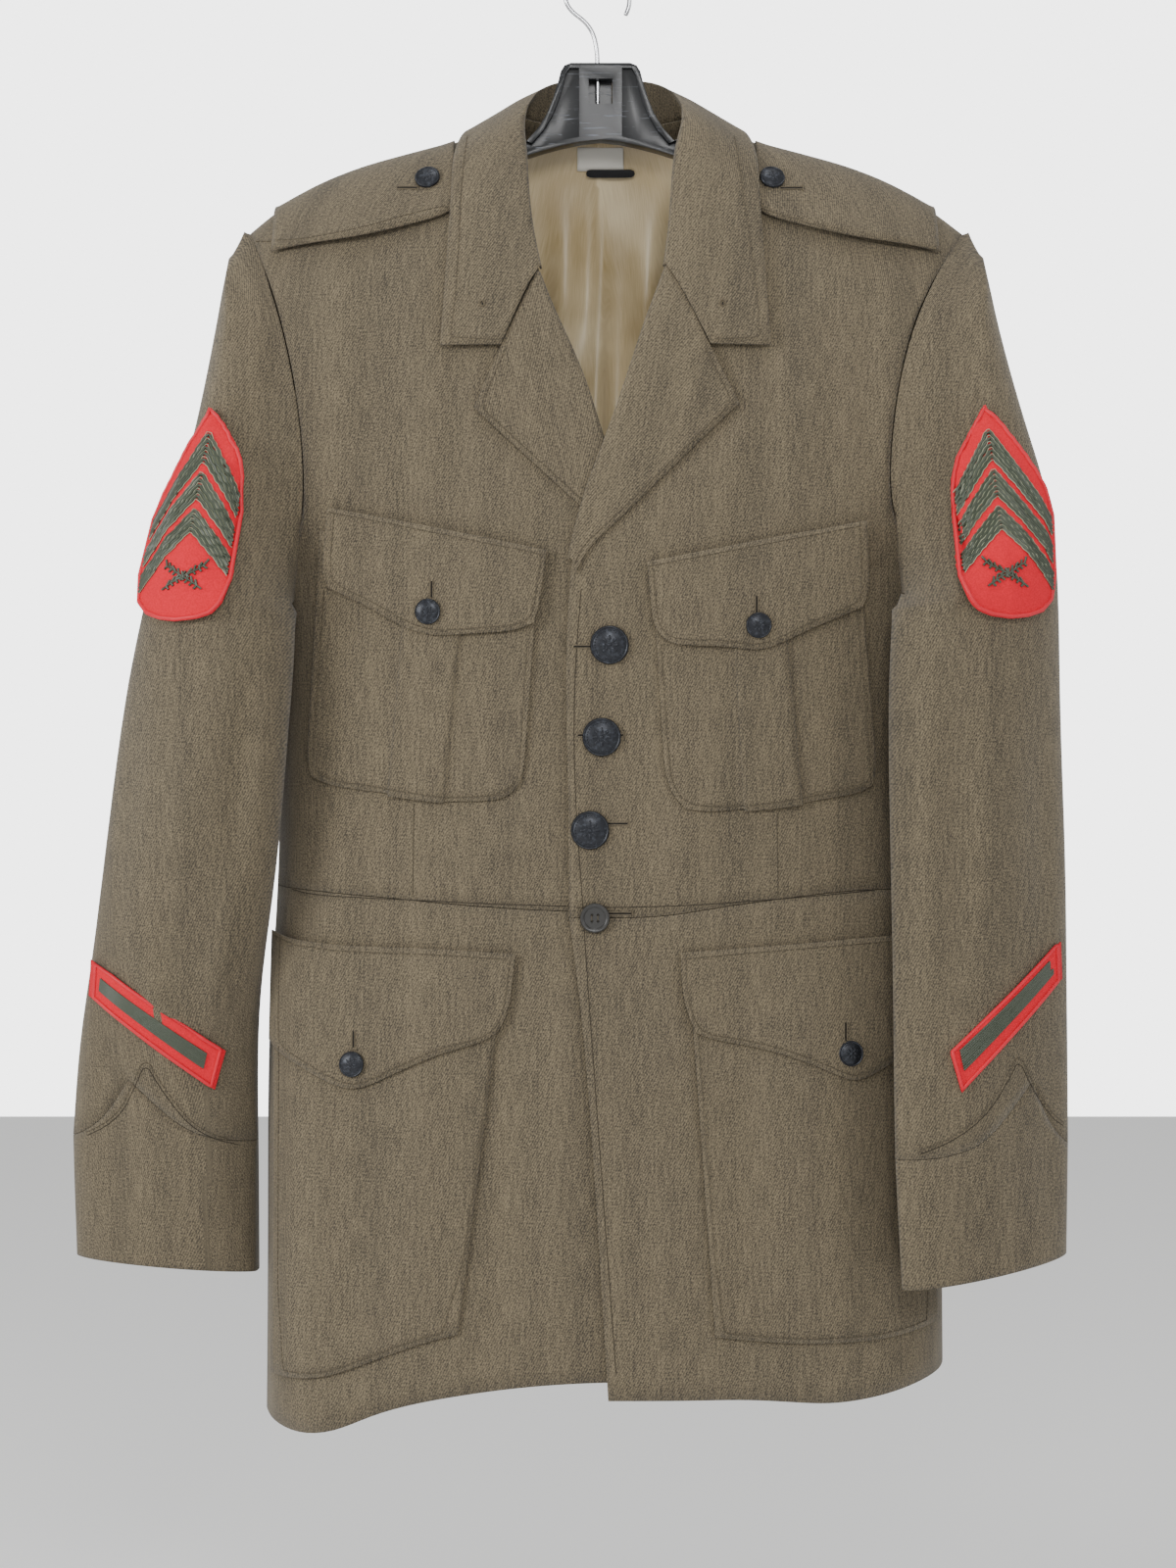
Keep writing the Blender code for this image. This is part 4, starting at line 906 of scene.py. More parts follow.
def path_on(surface: Surface, corners: Sequence[Point], lift: float = 0.0, step: float = 3.0,
            smooth: int = 2) -> Run:
    """Lay one unbroken line on the cloth.

    Args:
        surface: the cloth.
        corners: its corners as seen from the front, in mm.
        lift: how far it stands off.
        step: the spacing of its points.
        smooth: how often its corners are cut.

    Returns:
        Its points in metres.
    """
    spots = [surface.ahead(x, z, lift) for x, z in spread(rounded(corners, smooth), step)]
    return [spot for spot in spots if spot is not None]


def inset(corners: Sequence[Point], by: float) -> list[Point]:
    """Move a line to its right hand by a distance, as seen from the front.

    Args:
        corners: the line's corners.
        by: the distance, in mm; below zero moves it left.

    Returns:
        The moved corners.
    """
    line = np.array(corners, float)
    ways = np.diff(line, axis=0)
    ways /= np.hypot(*ways.T)[:, None]
    sides = np.stack([ways[:, 1], -ways[:, 0]], axis=1)
    moved = []
    for i, corner in enumerate(line):
        before, after = sides[max(0, i - 1)], sides[min(len(sides) - 1, i)]
        middle = before + after
        middle /= max(0.35, float(np.dot(middle, middle)) / 2)
        moved.append((float(corner[0] + middle[0] * by), float(corner[1] + middle[1] * by)))
    return moved


def solid(name: str, corners: list[Vector], faces: list[tuple[int, ...]]) -> bpy.types.Object:
    """Make a mesh object.

    Args:
        name: its name.
        corners: its points in metres.
        faces: each face's corners.

    Returns:
        The object, with its faces turned outward.
    """
    mesh = bpy.data.meshes.new(name)
    mesh.from_pydata(corners, [], faces)
    obj = placed(name, mesh)
    bpy.ops.object.mode_set(mode="EDIT")
    bpy.ops.mesh.select_all(action="SELECT")
    bpy.ops.mesh.normals_make_consistent(inside=False)
    bpy.ops.object.mode_set(mode="OBJECT")
    return obj


def closed_grid(rows: int, columns: int) -> list[tuple[int, ...]]:
    """List the faces of a thin closed sheet whose front points come before its back points.

    Args:
        rows: its rows of points.
        columns: its columns of points.

    Returns:
        Each face's corners.
    """
    count = rows * columns
    faces: list[tuple[int, ...]] = []
    for row in range(rows - 1):
        for column in range(columns - 1):
            a = row * columns + column
            face = (a, a + 1, a + 1 + columns, a + columns)
            faces += [face, tuple(count + i for i in reversed(face))]
    rim = list(range(columns)) + [r * columns + columns - 1 for r in range(1, rows)]
    rim += [(rows - 1) * columns + c for c in range(columns - 2, -1, -1)]
    rim += [r * columns for r in range(rows - 2, 0, -1)]
    return faces + [(a, count + a, count + b, b) for a, b in zip(rim, rim[1:] + rim[:1])]


def join(name: str, objects: list[bpy.types.Object]) -> bpy.types.Object:
    """Join objects to one.

    Args:
        name: the joined object's name.
        objects: the objects.

    Returns:
        The joined object.
    """
    alone(objects[0])
    for obj in objects[1:]:
        obj.select_set(True)
    if len(objects) > 1:
        bpy.ops.object.join()
    obj = bpy.context.object
    obj.name = obj.data.name = name
    return obj


# Each ring of a button's profile: its radius and its height, as shares of the button's radius
DOMED_RINGS = ((0.0, 0.0), (1.0, 0.0), (1.0, 0.10), (0.985, 0.17), (0.94, 0.205), (0.885, 0.19), (0.86, 0.165),
               (0.80, 0.19), (0.66, 0.245), (0.48, 0.295), (0.28, 0.325), (0.0, 0.335))
PLAIN_RINGS = ((0.0, 0.0), (0.86, 0.0), (1.0, 0.09), (1.0, 0.2), (0.95, 0.27), (0.84, 0.28), (0.76, 0.23),
               (0.7, 0.16), (0.0, 0.15))


@dataclass
class Button:
    """A domed metal button: a rim, a ring of beads and a plain eight-petal rosette.

    Every size in it is a share of its radius, which is in mm.
    """

    node: str
    radius: float
    rings: tuple[Point, ...] = DOMED_RINGS
    STEPS = 40
    BEADS, BEAD_RING, BEAD_HEIGHT, BEAD_RADIUS = 34, 0.76, 0.205, 0.042
    PETALS, PETAL_DEPTH = 8, 0.055
    # How long and wide a petal is, how far out it sits and how high, and the same for the heart
    PETAL, HEART = (0.19, 0.085, 0.33, 0.30), (0.11, 0.11, 0.0, 0.335)

    def build(self) -> bpy.types.Object:
        """Make the button over its plain solid.

        Returns:
            The button.
        """
        seat = self.seat()
        obj = join(f"metal_{self.node}", [self.dome(seat)] + self.beads(seat) + self.petals(seat))
        smooth_by(obj, 40)
        hand_over(obj, BUTTON_BRASS)
        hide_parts(self.node)
        return obj

    def seat(self) -> Seat:
        """Find the middle of the solid's back and the way that it faces."""
        points = points_of(frame["nodes"][self.node])
        out = Vector(np.linalg.svd(points - points.mean(axis=0))[2][2])
        if (out.y > 0 and abs(out.y) > 0.2) or (abs(out.y) <= 0.2 and out.z < 0):
            out = -out
        out.normalize()
        middle = (points.min(axis=0) + points.max(axis=0)) / 2
        back = float(((points - middle) @ np.array(out)).min())
        return Seat.on((Vector(middle) + out * back) * MM, out)

    def dome(self, seat: Seat) -> bpy.types.Object:
        """Turn the button's profile round its middle.

        Args:
            seat: where it sits.

        Returns:
            The dome.
        """
        corners = [seat.middle]
        for share, height in self.rings[1:-1]:
            far, high = share * self.radius, height * self.radius
            corners += [seat.round_it(2 * math.pi * step / self.STEPS, far, high) for step in range(self.STEPS)]
        corners.append(seat.at(0, 0, self.rings[-1][1] * self.radius))
        faces: list[tuple[int, ...]] = []
        last = len(corners) - 1
        top = last - self.STEPS
        for step in range(self.STEPS):
            after = (step + 1) % self.STEPS
            faces.append((0, 1 + after, 1 + step))
            faces += [(a + step, a + after, a + self.STEPS + after, a + self.STEPS + step)
                      for a in range(1, top, self.STEPS)]
            faces.append((top + step, top + after, last))
        return solid(f"dome_{self.node}", corners, faces)

    def beads(self, seat: Seat) -> list[bpy.types.Object]:
        """Set a ring of small beads inside the rim."""
        beads = []
        for step in range(self.BEADS):
            spot = seat.round_it(2 * math.pi * step / self.BEADS, self.BEAD_RING * self.radius,
                                 self.BEAD_HEIGHT * self.radius)
            bpy.ops.mesh.primitive_ico_sphere_add(
                subdivisions=1, radius=self.radius * self.BEAD_RADIUS * MM, location=spot)
            beads.append(settle(bpy.context.object))
        return beads

    def petals(self, seat: Seat) -> list[bpy.types.Object]:
        """Raise a plain rosette on the dome, its heart last."""
        petals = []
        for step in range(self.PETALS + 1):
            long, wide, far, high = self.HEART if step == self.PETALS else self.PETAL
            angle = 2 * math.pi * step / self.PETALS
            spot = seat.round_it(angle, far * self.radius, high * self.radius)
            along = seat.right * math.cos(angle) + seat.up * math.sin(angle)
            aside = seat.out.cross(along)
            bpy.ops.mesh.primitive_uv_sphere_add(segments=10, ring_count=6, radius=1.0)
            petal = bpy.context.object
            for point in petal.data.vertices:
                x, y, z = point.co
                shaped = along * x * long + aside * y * wide + seat.out * z * self.PETAL_DEPTH
                point.co = spot + shaped * self.radius * MM
            petals.append(petal)
        return petals


BIG_RADIUS, SMALL_RADIUS = 12.7, 8.5
METAL_BUTTONS = {f"front_button_{place}": BIG_RADIUS for place in (1, 2, 3)}
METAL_BUTTONS |= {f"{kind}_button_{side.value}": SMALL_RADIUS
                  for kind in ("chest", "skirt", "epaulette") for side in Side}
# Each sheet's width, length and flat area in mm, on the left and on the right
SHEETS = {
    "back": ((255, 880, 202200), (254, 877, 197700)),
    "front_upper": ((274, 553, 118800), (280, 560, 119200)),
    "front_skirt": ((314, 364, 99300), (276, 337, 88300)),
    "sleeve": ((329, 610, 172300), (341, 610, 177600)),
    "cuff": ((306, 110, 27700), (301, 110, 25600)),
    "chest_pocket": ((153, 169, 24700), (147, 170, 23300)),
    "chest_flap": ((151, 72, 9300), (149, 73, 9400)),
    "skirt_pocket": ((167, 273, 39000), (166, 244, 39600)),
    "skirt_flap": ((179, 96, 13800), (169, 94, 12600)),
    "lapel": ((79, 131, 8200), (90, 141, 9000)),
    "epaulette": ((167, 100, 11900), (167, 100, 11900)),
}
SEWN_TO = {"chest_pocket": "front_upper", "chest_flap": "chest_pocket", "skirt_pocket": "front_skirt",
           "skirt_flap": "skirt_pocket", "lapel": "front_upper", "front_skirt": "front_upper",
           "cuff": "sleeve", "sleeve": "front_upper", "epaulette": "front_upper", "front_upper": "back"}


LINING_HEAD, LINING_RUN = -138.0, 80.0          # its folds start at this height and are whole this far below
LINING_X, LINING_HALF, LINING_FADE = 3.0, 112.0, 20.0
LINING_LIFT = 5.5
LINING_WAVES = ((4.4, 8.5, 0.6, 70.0), (2.6, 4.6, 2.1, -45.0))    # height, spread, start and slant of each
PLEAT_X, PLEAT_HALF, PLEAT_HEIGHT, PLEAT_START = 2.0, 7.0, 5.5, 0.25


def settle_lining(points: np.ndarray) -> np.ndarray:
    """Give the lining its centre pleat and soft hanging folds.

    Args:
        points: rows of x, y and z in mm.

    Returns:
        The moved points.
    """
    x, z = points[:, 0], points[:, 2]
    down = np.clip((LINING_HEAD - z) / LINING_RUN, 0, 1)
    edge = np.clip((LINING_HALF - np.abs(x - LINING_X)) / LINING_FADE, 0, 1)
    soft = LINING_LIFT + sum(height * np.sin(x / wide + start + z / slant)
                             for height, wide, start, slant in LINING_WAVES)
    pleat = PLEAT_HEIGHT * np.clip(1 - np.abs(x - PLEAT_X) / PLEAT_HALF, 0, 1)
    moved = points.copy()
    moved[:, 1] -= (soft * down + pleat * np.clip(down + PLEAT_START, 0, 1)) * edge
    return moved


# How far a sleeve's head is lowered and drawn in, from which height and over what run
HEAD_DROP, DROP_FOOT, DROP_RUN = 2.5, -168.0, 16.0
HEAD_IN, IN_FOOT, IN_RUN = 2.6, -220.0, 60.0


def ease_sleeve(side: Side) -> Callable[[np.ndarray], np.ndarray]:
    """Ease a sleeve into its armhole, close at the shoulder.

    Args:
        side: the sleeve's side.

    Returns:
        What moves its points.
    """
    def ease(points: np.ndarray) -> np.ndarray:
        """Lower and draw in the sleeve's head."""
        z = points[:, 2]
        moved = points.copy()
        moved[:, 2] -= HEAD_DROP * np.clip((z - DROP_FOOT) / DROP_RUN, 0, 1)
        moved[:, 0] -= side.sign * HEAD_IN * np.clip((z - IN_FOOT) / IN_RUN, 0, 1)
        return moved
    return ease


NECK_SEAM_X, NECK_TOP = 5.0, -105.6
NECK_EASE = 60.0    # how far from the seam its closing still moves the cloth
NECK_GAPS = {-1: (14.7, -135.4), 1: (11.8, -139.8)}    # each side of the seam: the gap's width and foot


def close_back_neck(points: np.ndarray) -> np.ndarray:
    """Draw the two back pieces together where their seam meets the neck.

    Args:
        points: rows of x, y and z in mm.

    Returns:
        The moved points.
    """
    x = points[:, 0] - NECK_SEAM_X
    moved = points.copy()
    for way, (width, foot) in NECK_GAPS.items():
        open_by = width * np.clip((points[:, 2] - foot) / (NECK_TOP - foot), 0, 1)
        near = np.clip(1 - (np.abs(x) - open_by) / NECK_EASE, 0, 1)
        moved[:, 0] -= way * np.where(np.sign(x) == way, open_by * near, 0)
    return moved


LAPEL_GRAIN, COLLAR_GRAIN = 12.0, 8.0    # how far the cloth's grain is turned, in degrees


@dataclass
class Coat:
    """The whole coat: every cut piece of cloth, dressed."""

    pieces: dict[str, bpy.types.Object] = field(default_factory=dict)

    def build(self) -> None:
        """Dress every cloth solid."""
        for kind, sizes in SHEETS.items():
            for side, (width, length, area) in zip(Side, sizes):
                node = f"{kind}_{side.value}"
                drape = {"back": BACK_DRAPE, "sleeve": SLEEVE_DRAPES[side], "cuff": SLEEVE_DRAPES[side],
                         "epaulette": None}.get(kind, FRONT_DRAPE)
                under = SEWN_TO.get(kind)
                rests = (f"{under}_{side.value}",) if under else ("hanger_body",)
                shape = {"sleeve": ease_sleeve(side), "back": close_back_neck}.get(kind)
                grain = LAPEL_GRAIN * side.sign if kind == "lapel" else 0.0
                self.pieces[node] = ClothPiece(node, (width, length), area, drape, rests_on=rests, shape=shape,
                                               grain=grain).build()
        backs = ("back_left", "back_right")
        self.pieces["collar"] = ClothPiece(
            "collar", (394, 247), 35100, None, rests_on=backs, grain=COLLAR_GRAIN).build()
        self.pieces["back_lining"] = ClothPiece(
            "back_lining", (256, 322), 73500, None, LINING, Slot.SATIN, 3, backs, settle_lining).build()
        self.pieces["neck_label"] = ClothPiece(
            "neck_label", (33, 17), 500, None, LABEL_TAPE, Slot.LABEL, 2, ("back_lining",)).build()

    def surface(self, *kinds: str) -> Surface:
        """Gather dressed pieces to sew on.

        Args:
            kinds: their names, without a side where both are meant.

        Returns:
            The surface.
        """
        names = [name for name in self.pieces if any(name.startswith(kind) for kind in kinds)]
        return Surface([self.pieces[name] for name in names])


POCKETS = {
    "chest_pocket_left": [(-184.5, -425), (-192.8, -538), (-189.5, -548), (-176.5, -554.3), (-158, -556.6),
                          (-119.5, -563), (-102, -565.5), (-72, -564.6), (-60, -562), (-50.5, -553),
                          (-48.6, -543), (-43, -455)],
    "chest_pocket_right": [(38, -462), (43.6, -545), (48, -559), (57, -569), (76, -571.7), (115, -569.5),
                           (155, -561.8), (172, -559.5), (181, -554), (184.5, -544), (174, -437)],
    "skirt_pocket_left": [(-216.3, -728), (-217, -946), (-197, -947), (-179, -944.5), (-155, -935.3),
                          (-122, -921.1), (-91.6, -912.8), (-65, -722)],
    "skirt_pocket_right": [(61.6, -714), (76.6, -913.7), (90, -916), (119.7, -918.9), (145.7, -920.3),
                           (184.6, -919.8), (206, -916.5), (227, -911), (217, -730)],
}
FLAPS = {
    "chest_flap_left": [(-176.8, -370.4), (-180.6, -414), (-176.5, -423), (-159, -431.4), (-142.7, -440),
                        (-129, -448.5), (-114, -454.5), (-101, -455.6), (-68.2, -453.4), (-51.5, -452),
                        (-42, -447), (-38.6, -437), (-33.5, -400)],
    "chest_flap_right": [(32, -407.9), (35.4, -445), (39, -454), (46.5, -460.5), (59, -462.3), (76, -461.8),
                         (92, -463.8), (103.5, -465), (112, -463.5), (125, -457.7), (142, -449.2),
                         (158.5, -442.5), (173, -436), (177.4, -427), (175.9, -379.1)],
    "skirt_flap_left": [(-215.6, -651.3), (-217, -724), (-213.5, -729), (-207, -734.5), (-187.6, -744.5),
                        (-171.5, -752.9), (-158.2, -754.6), (-145.7, -749.6), (-130, -741.6),
                        (-104.2, -729.8), (-79, -723.8), (-66.2, -717.4), (-60.3, -707), (-57.3, -694),
                        (-54.1, -664.9)],
    "skirt_flap_right": [(54, -664.3), (54.8, -686), (57.4, -702), (64.1, -716.1), (74.4, -720.6),
                         (95, -723.9), (120.2, -729.8), (146.2, -739.2), (161.2, -746.5), (170, -748.9),
                         (179.8, -745.1),
                         (193.2, -737.8), (205, -731), (214, -724), (214, -652.4)],
}
FLAP_TOPS = {
    "chest_flap_left": [(-176.8, -370.4), (-33.5, -400)],
    "chest_flap_right": [(32, -407.9), (175.9, -379.1)],
    "skirt_flap_left": [(-215.6, -651.3), (-202, -656.9), (-171, -660), (-104.4, -661.9), (-54.1, -664.9)],
    "skirt_flap_right": [(54, -664.3), (95, -661), (146, -657.2), (214, -652.4)],
}
COLLAR_EDGES = {
    Side.LEFT: [(-93, -116), (-96, -155), (-97, -190), (-99, -230), (-103, -264), (-62, -267)],
    Side.RIGHT: [(97, -118), (101, -155), (105, -190), (110, -230), (112, -264), (73, -267)],
}
LAPEL_EDGES = {
    Side.LEFT: [(-63.8, -266), (-72.5, -286), (-81.1, -306.1), (-68, -318.5), (-48, -337), (-26, -357),
                (-9.1, -372.6)],
    Side.RIGHT: [(73.3, -266), (83, -285), (92.5, -303.5), (76, -319), (50, -344.5), (25, -369), (5, -388),
                 (-7.1, -398.9), (-14.5, -415)],
}
STRAP_EDGES = {
    Side.LEFT: [(-231, -190), (-203, -193), (-176, -190), (-150, -185), (-124, -177), (-98, -171)],
    Side.RIGHT: [(106, -173), (124, -179), (150, -188), (176, -194), (203, -198), (233, -199)],
}
FRONT_EDGE = [(-17, -425), (-21, -476), (-22, -527), (-20, -579), (-17, -617), (-13, -681), (-6, -777),
              (1, -873), (6, -940)]
WAIST_SEAMS = {
    Side.LEFT: [(-205, -623.5), (-189, -627), (-136, -629), (-71, -632), (-19, -633.5)],
    Side.RIGHT: [(-14, -634), (19, -634), (58, -633), (120, -629), (189, -623)],
}
CUFF_SEAMS = {
    Side.LEFT: [(-344, -790), (-330, -783), (-318, -772), (-310, -756), (-302, -739), (-295, -752),
                (-285, -767), (-274, -781), (-260, -790), (-241, -796)],
    Side.RIGHT: [(208, -792), (226, -785), (241, -776), (255, -763), (268, -744), (274, -732), (284, -752),
                 (298, -772), (309, -780)],
}
DARTS = {
    Side.LEFT: [(-121.4, -566), (-122.1, -627)],
    Side.RIGHT: [(118, -572), (118.7, -627)],
}
# Each buttonhole from its inner to its outer end, and the bar across the outer end
BUTTONHOLES = ([(-16, -463), (-3, -463)], [(-13, -521), (-9, -521)], [(9, -521), (18, -521)],
               [(6, -579), (20, -579)], [(7, -638), (23, -638)],
               [(-109, -420), (-109, -432)], [(104, -430), (104, -441)],
               [(-161, -716), (-161, -728)], [(163, -710), (163, -723)],
               [(-134, -154.5), (-120, -155)], [(122, -155.5), (137, -155)])
EYELETS = ((-76, -237), (82, -237))
# How far inside an edge its stitches or its shade run
EDGE_IN, COLLAR_IN, CUFF_IN, FRONT_IN = 3.3, 5.28, 2.2, 6.0


@dataclass
class Sewing:
    """All the visible seams, top stitches, buttonholes and eyelets of the coat."""

    coat: Coat
    RIM_HALF, BAR_HALF, EYELET_RADIUS = 0.95, 2.47, 1.9

    def build(self) -> None:
        """Sew everything, one piece for each kind of thread."""
        front = self.coat.surface("front", "chest", "skirt", "lapel", "collar", "epaulette")
        sleeves = self.coat.surface("sleeve", "cuff")
        stitches: list[Run] = []
        for corners in list(POCKETS.values()) + list(FLAPS.values()):
            stitches += dashes(front, inset(corners, -EDGE_IN), smooth=1)
        for corners in FLAP_TOPS.values():
            stitches += dashes(front, inset(corners, EDGE_IN))
        for side in Side:
            stitches += dashes(front, inset(COLLAR_EDGES[side], side.sign * COLLAR_IN))
            stitches += dashes(front, inset(LAPEL_EDGES[side], side.sign * EDGE_IN), smooth=1)
            stitches += dashes(front, inset(STRAP_EDGES[side], -EDGE_IN), smooth=1)
            stitches += dashes(sleeves, inset(CUFF_SEAMS[side], -CUFF_IN), smooth=1)
            stitches += dashes(front, DARTS[side], lift=0.0, stitch=2.0, gap=0.8)
        threads("sewing_top_stitches", stitches, 0.33, SEWING_THREAD)
        self.press_seams(front, sleeves)
        self.work_buttonholes(front)

    def press_seams(self, front: Surface, sleeves: Surface) -> None:
        """Draw the shade in each pressed seam as a fine dark line."""
        runs = [path_on(front, WAIST_SEAMS[side], 0.05) for side in Side]
        runs += [path_on(front, DARTS[side], 0.02) for side in Side]
        runs += [path_on(sleeves, CUFF_SEAMS[side], 0.1, smooth=1) for side in Side]
        runs.append(path_on(front, inset(FRONT_EDGE, -FRONT_IN)))
        threads("sewing_seams", runs, 0.28, SEAM_SHADE)

    def work_buttonholes(self, front: Surface) -> None:
        """Work each buttonhole: a dark slit with a twist rim and a bar at its end."""
        slits, rims = [], []
        for (x0, z0), (x1, z1) in BUTTONHOLES:
            long = math.hypot(x1 - x0, z1 - z0)
            aside = ((z0 - z1) / long, (x1 - x0) / long)
            slits.append(path_on(front, [(x0, z0), (x1, z1)], 0.1, 1.5, 0))
            for off in (self.RIM_HALF, -self.RIM_HALF):
                rim = [(x + off * aside[0], z + off * aside[1]) for x, z in ((x0, z0), (x1, z1))]
                rims.append(path_on(front, rim, 0.25, 1.5, 0))
            bar = [(x1 + off * aside[0], z1 + off * aside[1]) for off in (self.BAR_HALF, -self.BAR_HALF)]
            rims.append(path_on(front, bar, 0.3, 1.2, 0))
        for x, z in EYELETS:
            ring = [(x + self.EYELET_RADIUS * math.cos(a), z + self.EYELET_RADIUS * math.sin(a))
                    for a in np.linspace(0, 2 * math.pi, 17)]
            rims.append(path_on(front, ring, 0.3, 0.7, 0))
            slits.append(path_on(front, [(x, z - 1.0), (x, z + 1.0)], 0.15, 0.4, 0))
        threads("sewing_buttonhole_slits", slits, 0.45, SLOT_DARK)
        threads("sewing_buttonhole_twist", rims, 0.4, SLOT_THREAD, sides=1)


RANK_OUTLINE = ((-32, 70, 116), (-29, 49, 132), (-23, 32, 138.5), (-14, 19, 141.5), (0, 0, 143),
                (14, 19, 141.5), (28, 39, 137.5), (38, 56, 130), (42, 74, 112))
RANK_MIDDLES = {Side.LEFT: ((-252, -305), (-272, -447)), Side.RIGHT: ((253.5, -304), (264.5, -446))}
# Each chevron: its apex's top and foot, and the same at its arms' ends
CHEVRONS = ((16.5, 37.4, 68.5, 82.4), (43.7, 62.0, 88.8, 101.4), (68.5, 84.3, 107.0, 119.8))
ARM = 34.0
EDGE_MIDDLE = 75.0    # the height, below the apex, that the cord edge is drawn in towards
CORDS = 5
SPRIG_MIDDLE = 114.0
SPRIG = ((-14, 8.2), (-7, 3.6), (0, 0), (7, -4.0), (13, -7.6))
LEAVES = 4
STRIPE_CORNERS = {
    Side.LEFT: ((-337, -671), (-250, -731), (-257, -757), (-339, -695)),
    Side.RIGHT: ((227, -727), (303, -657), (304, -681), (234, -752)),
}
STRIPE_BARS = {
    Side.LEFT: ((-332, -683), (-260, -733), (-261, -744), (-333, -691)),
    Side.RIGHT: ((233, -725), (297, -668), (299, -677), (236, -738)),
}


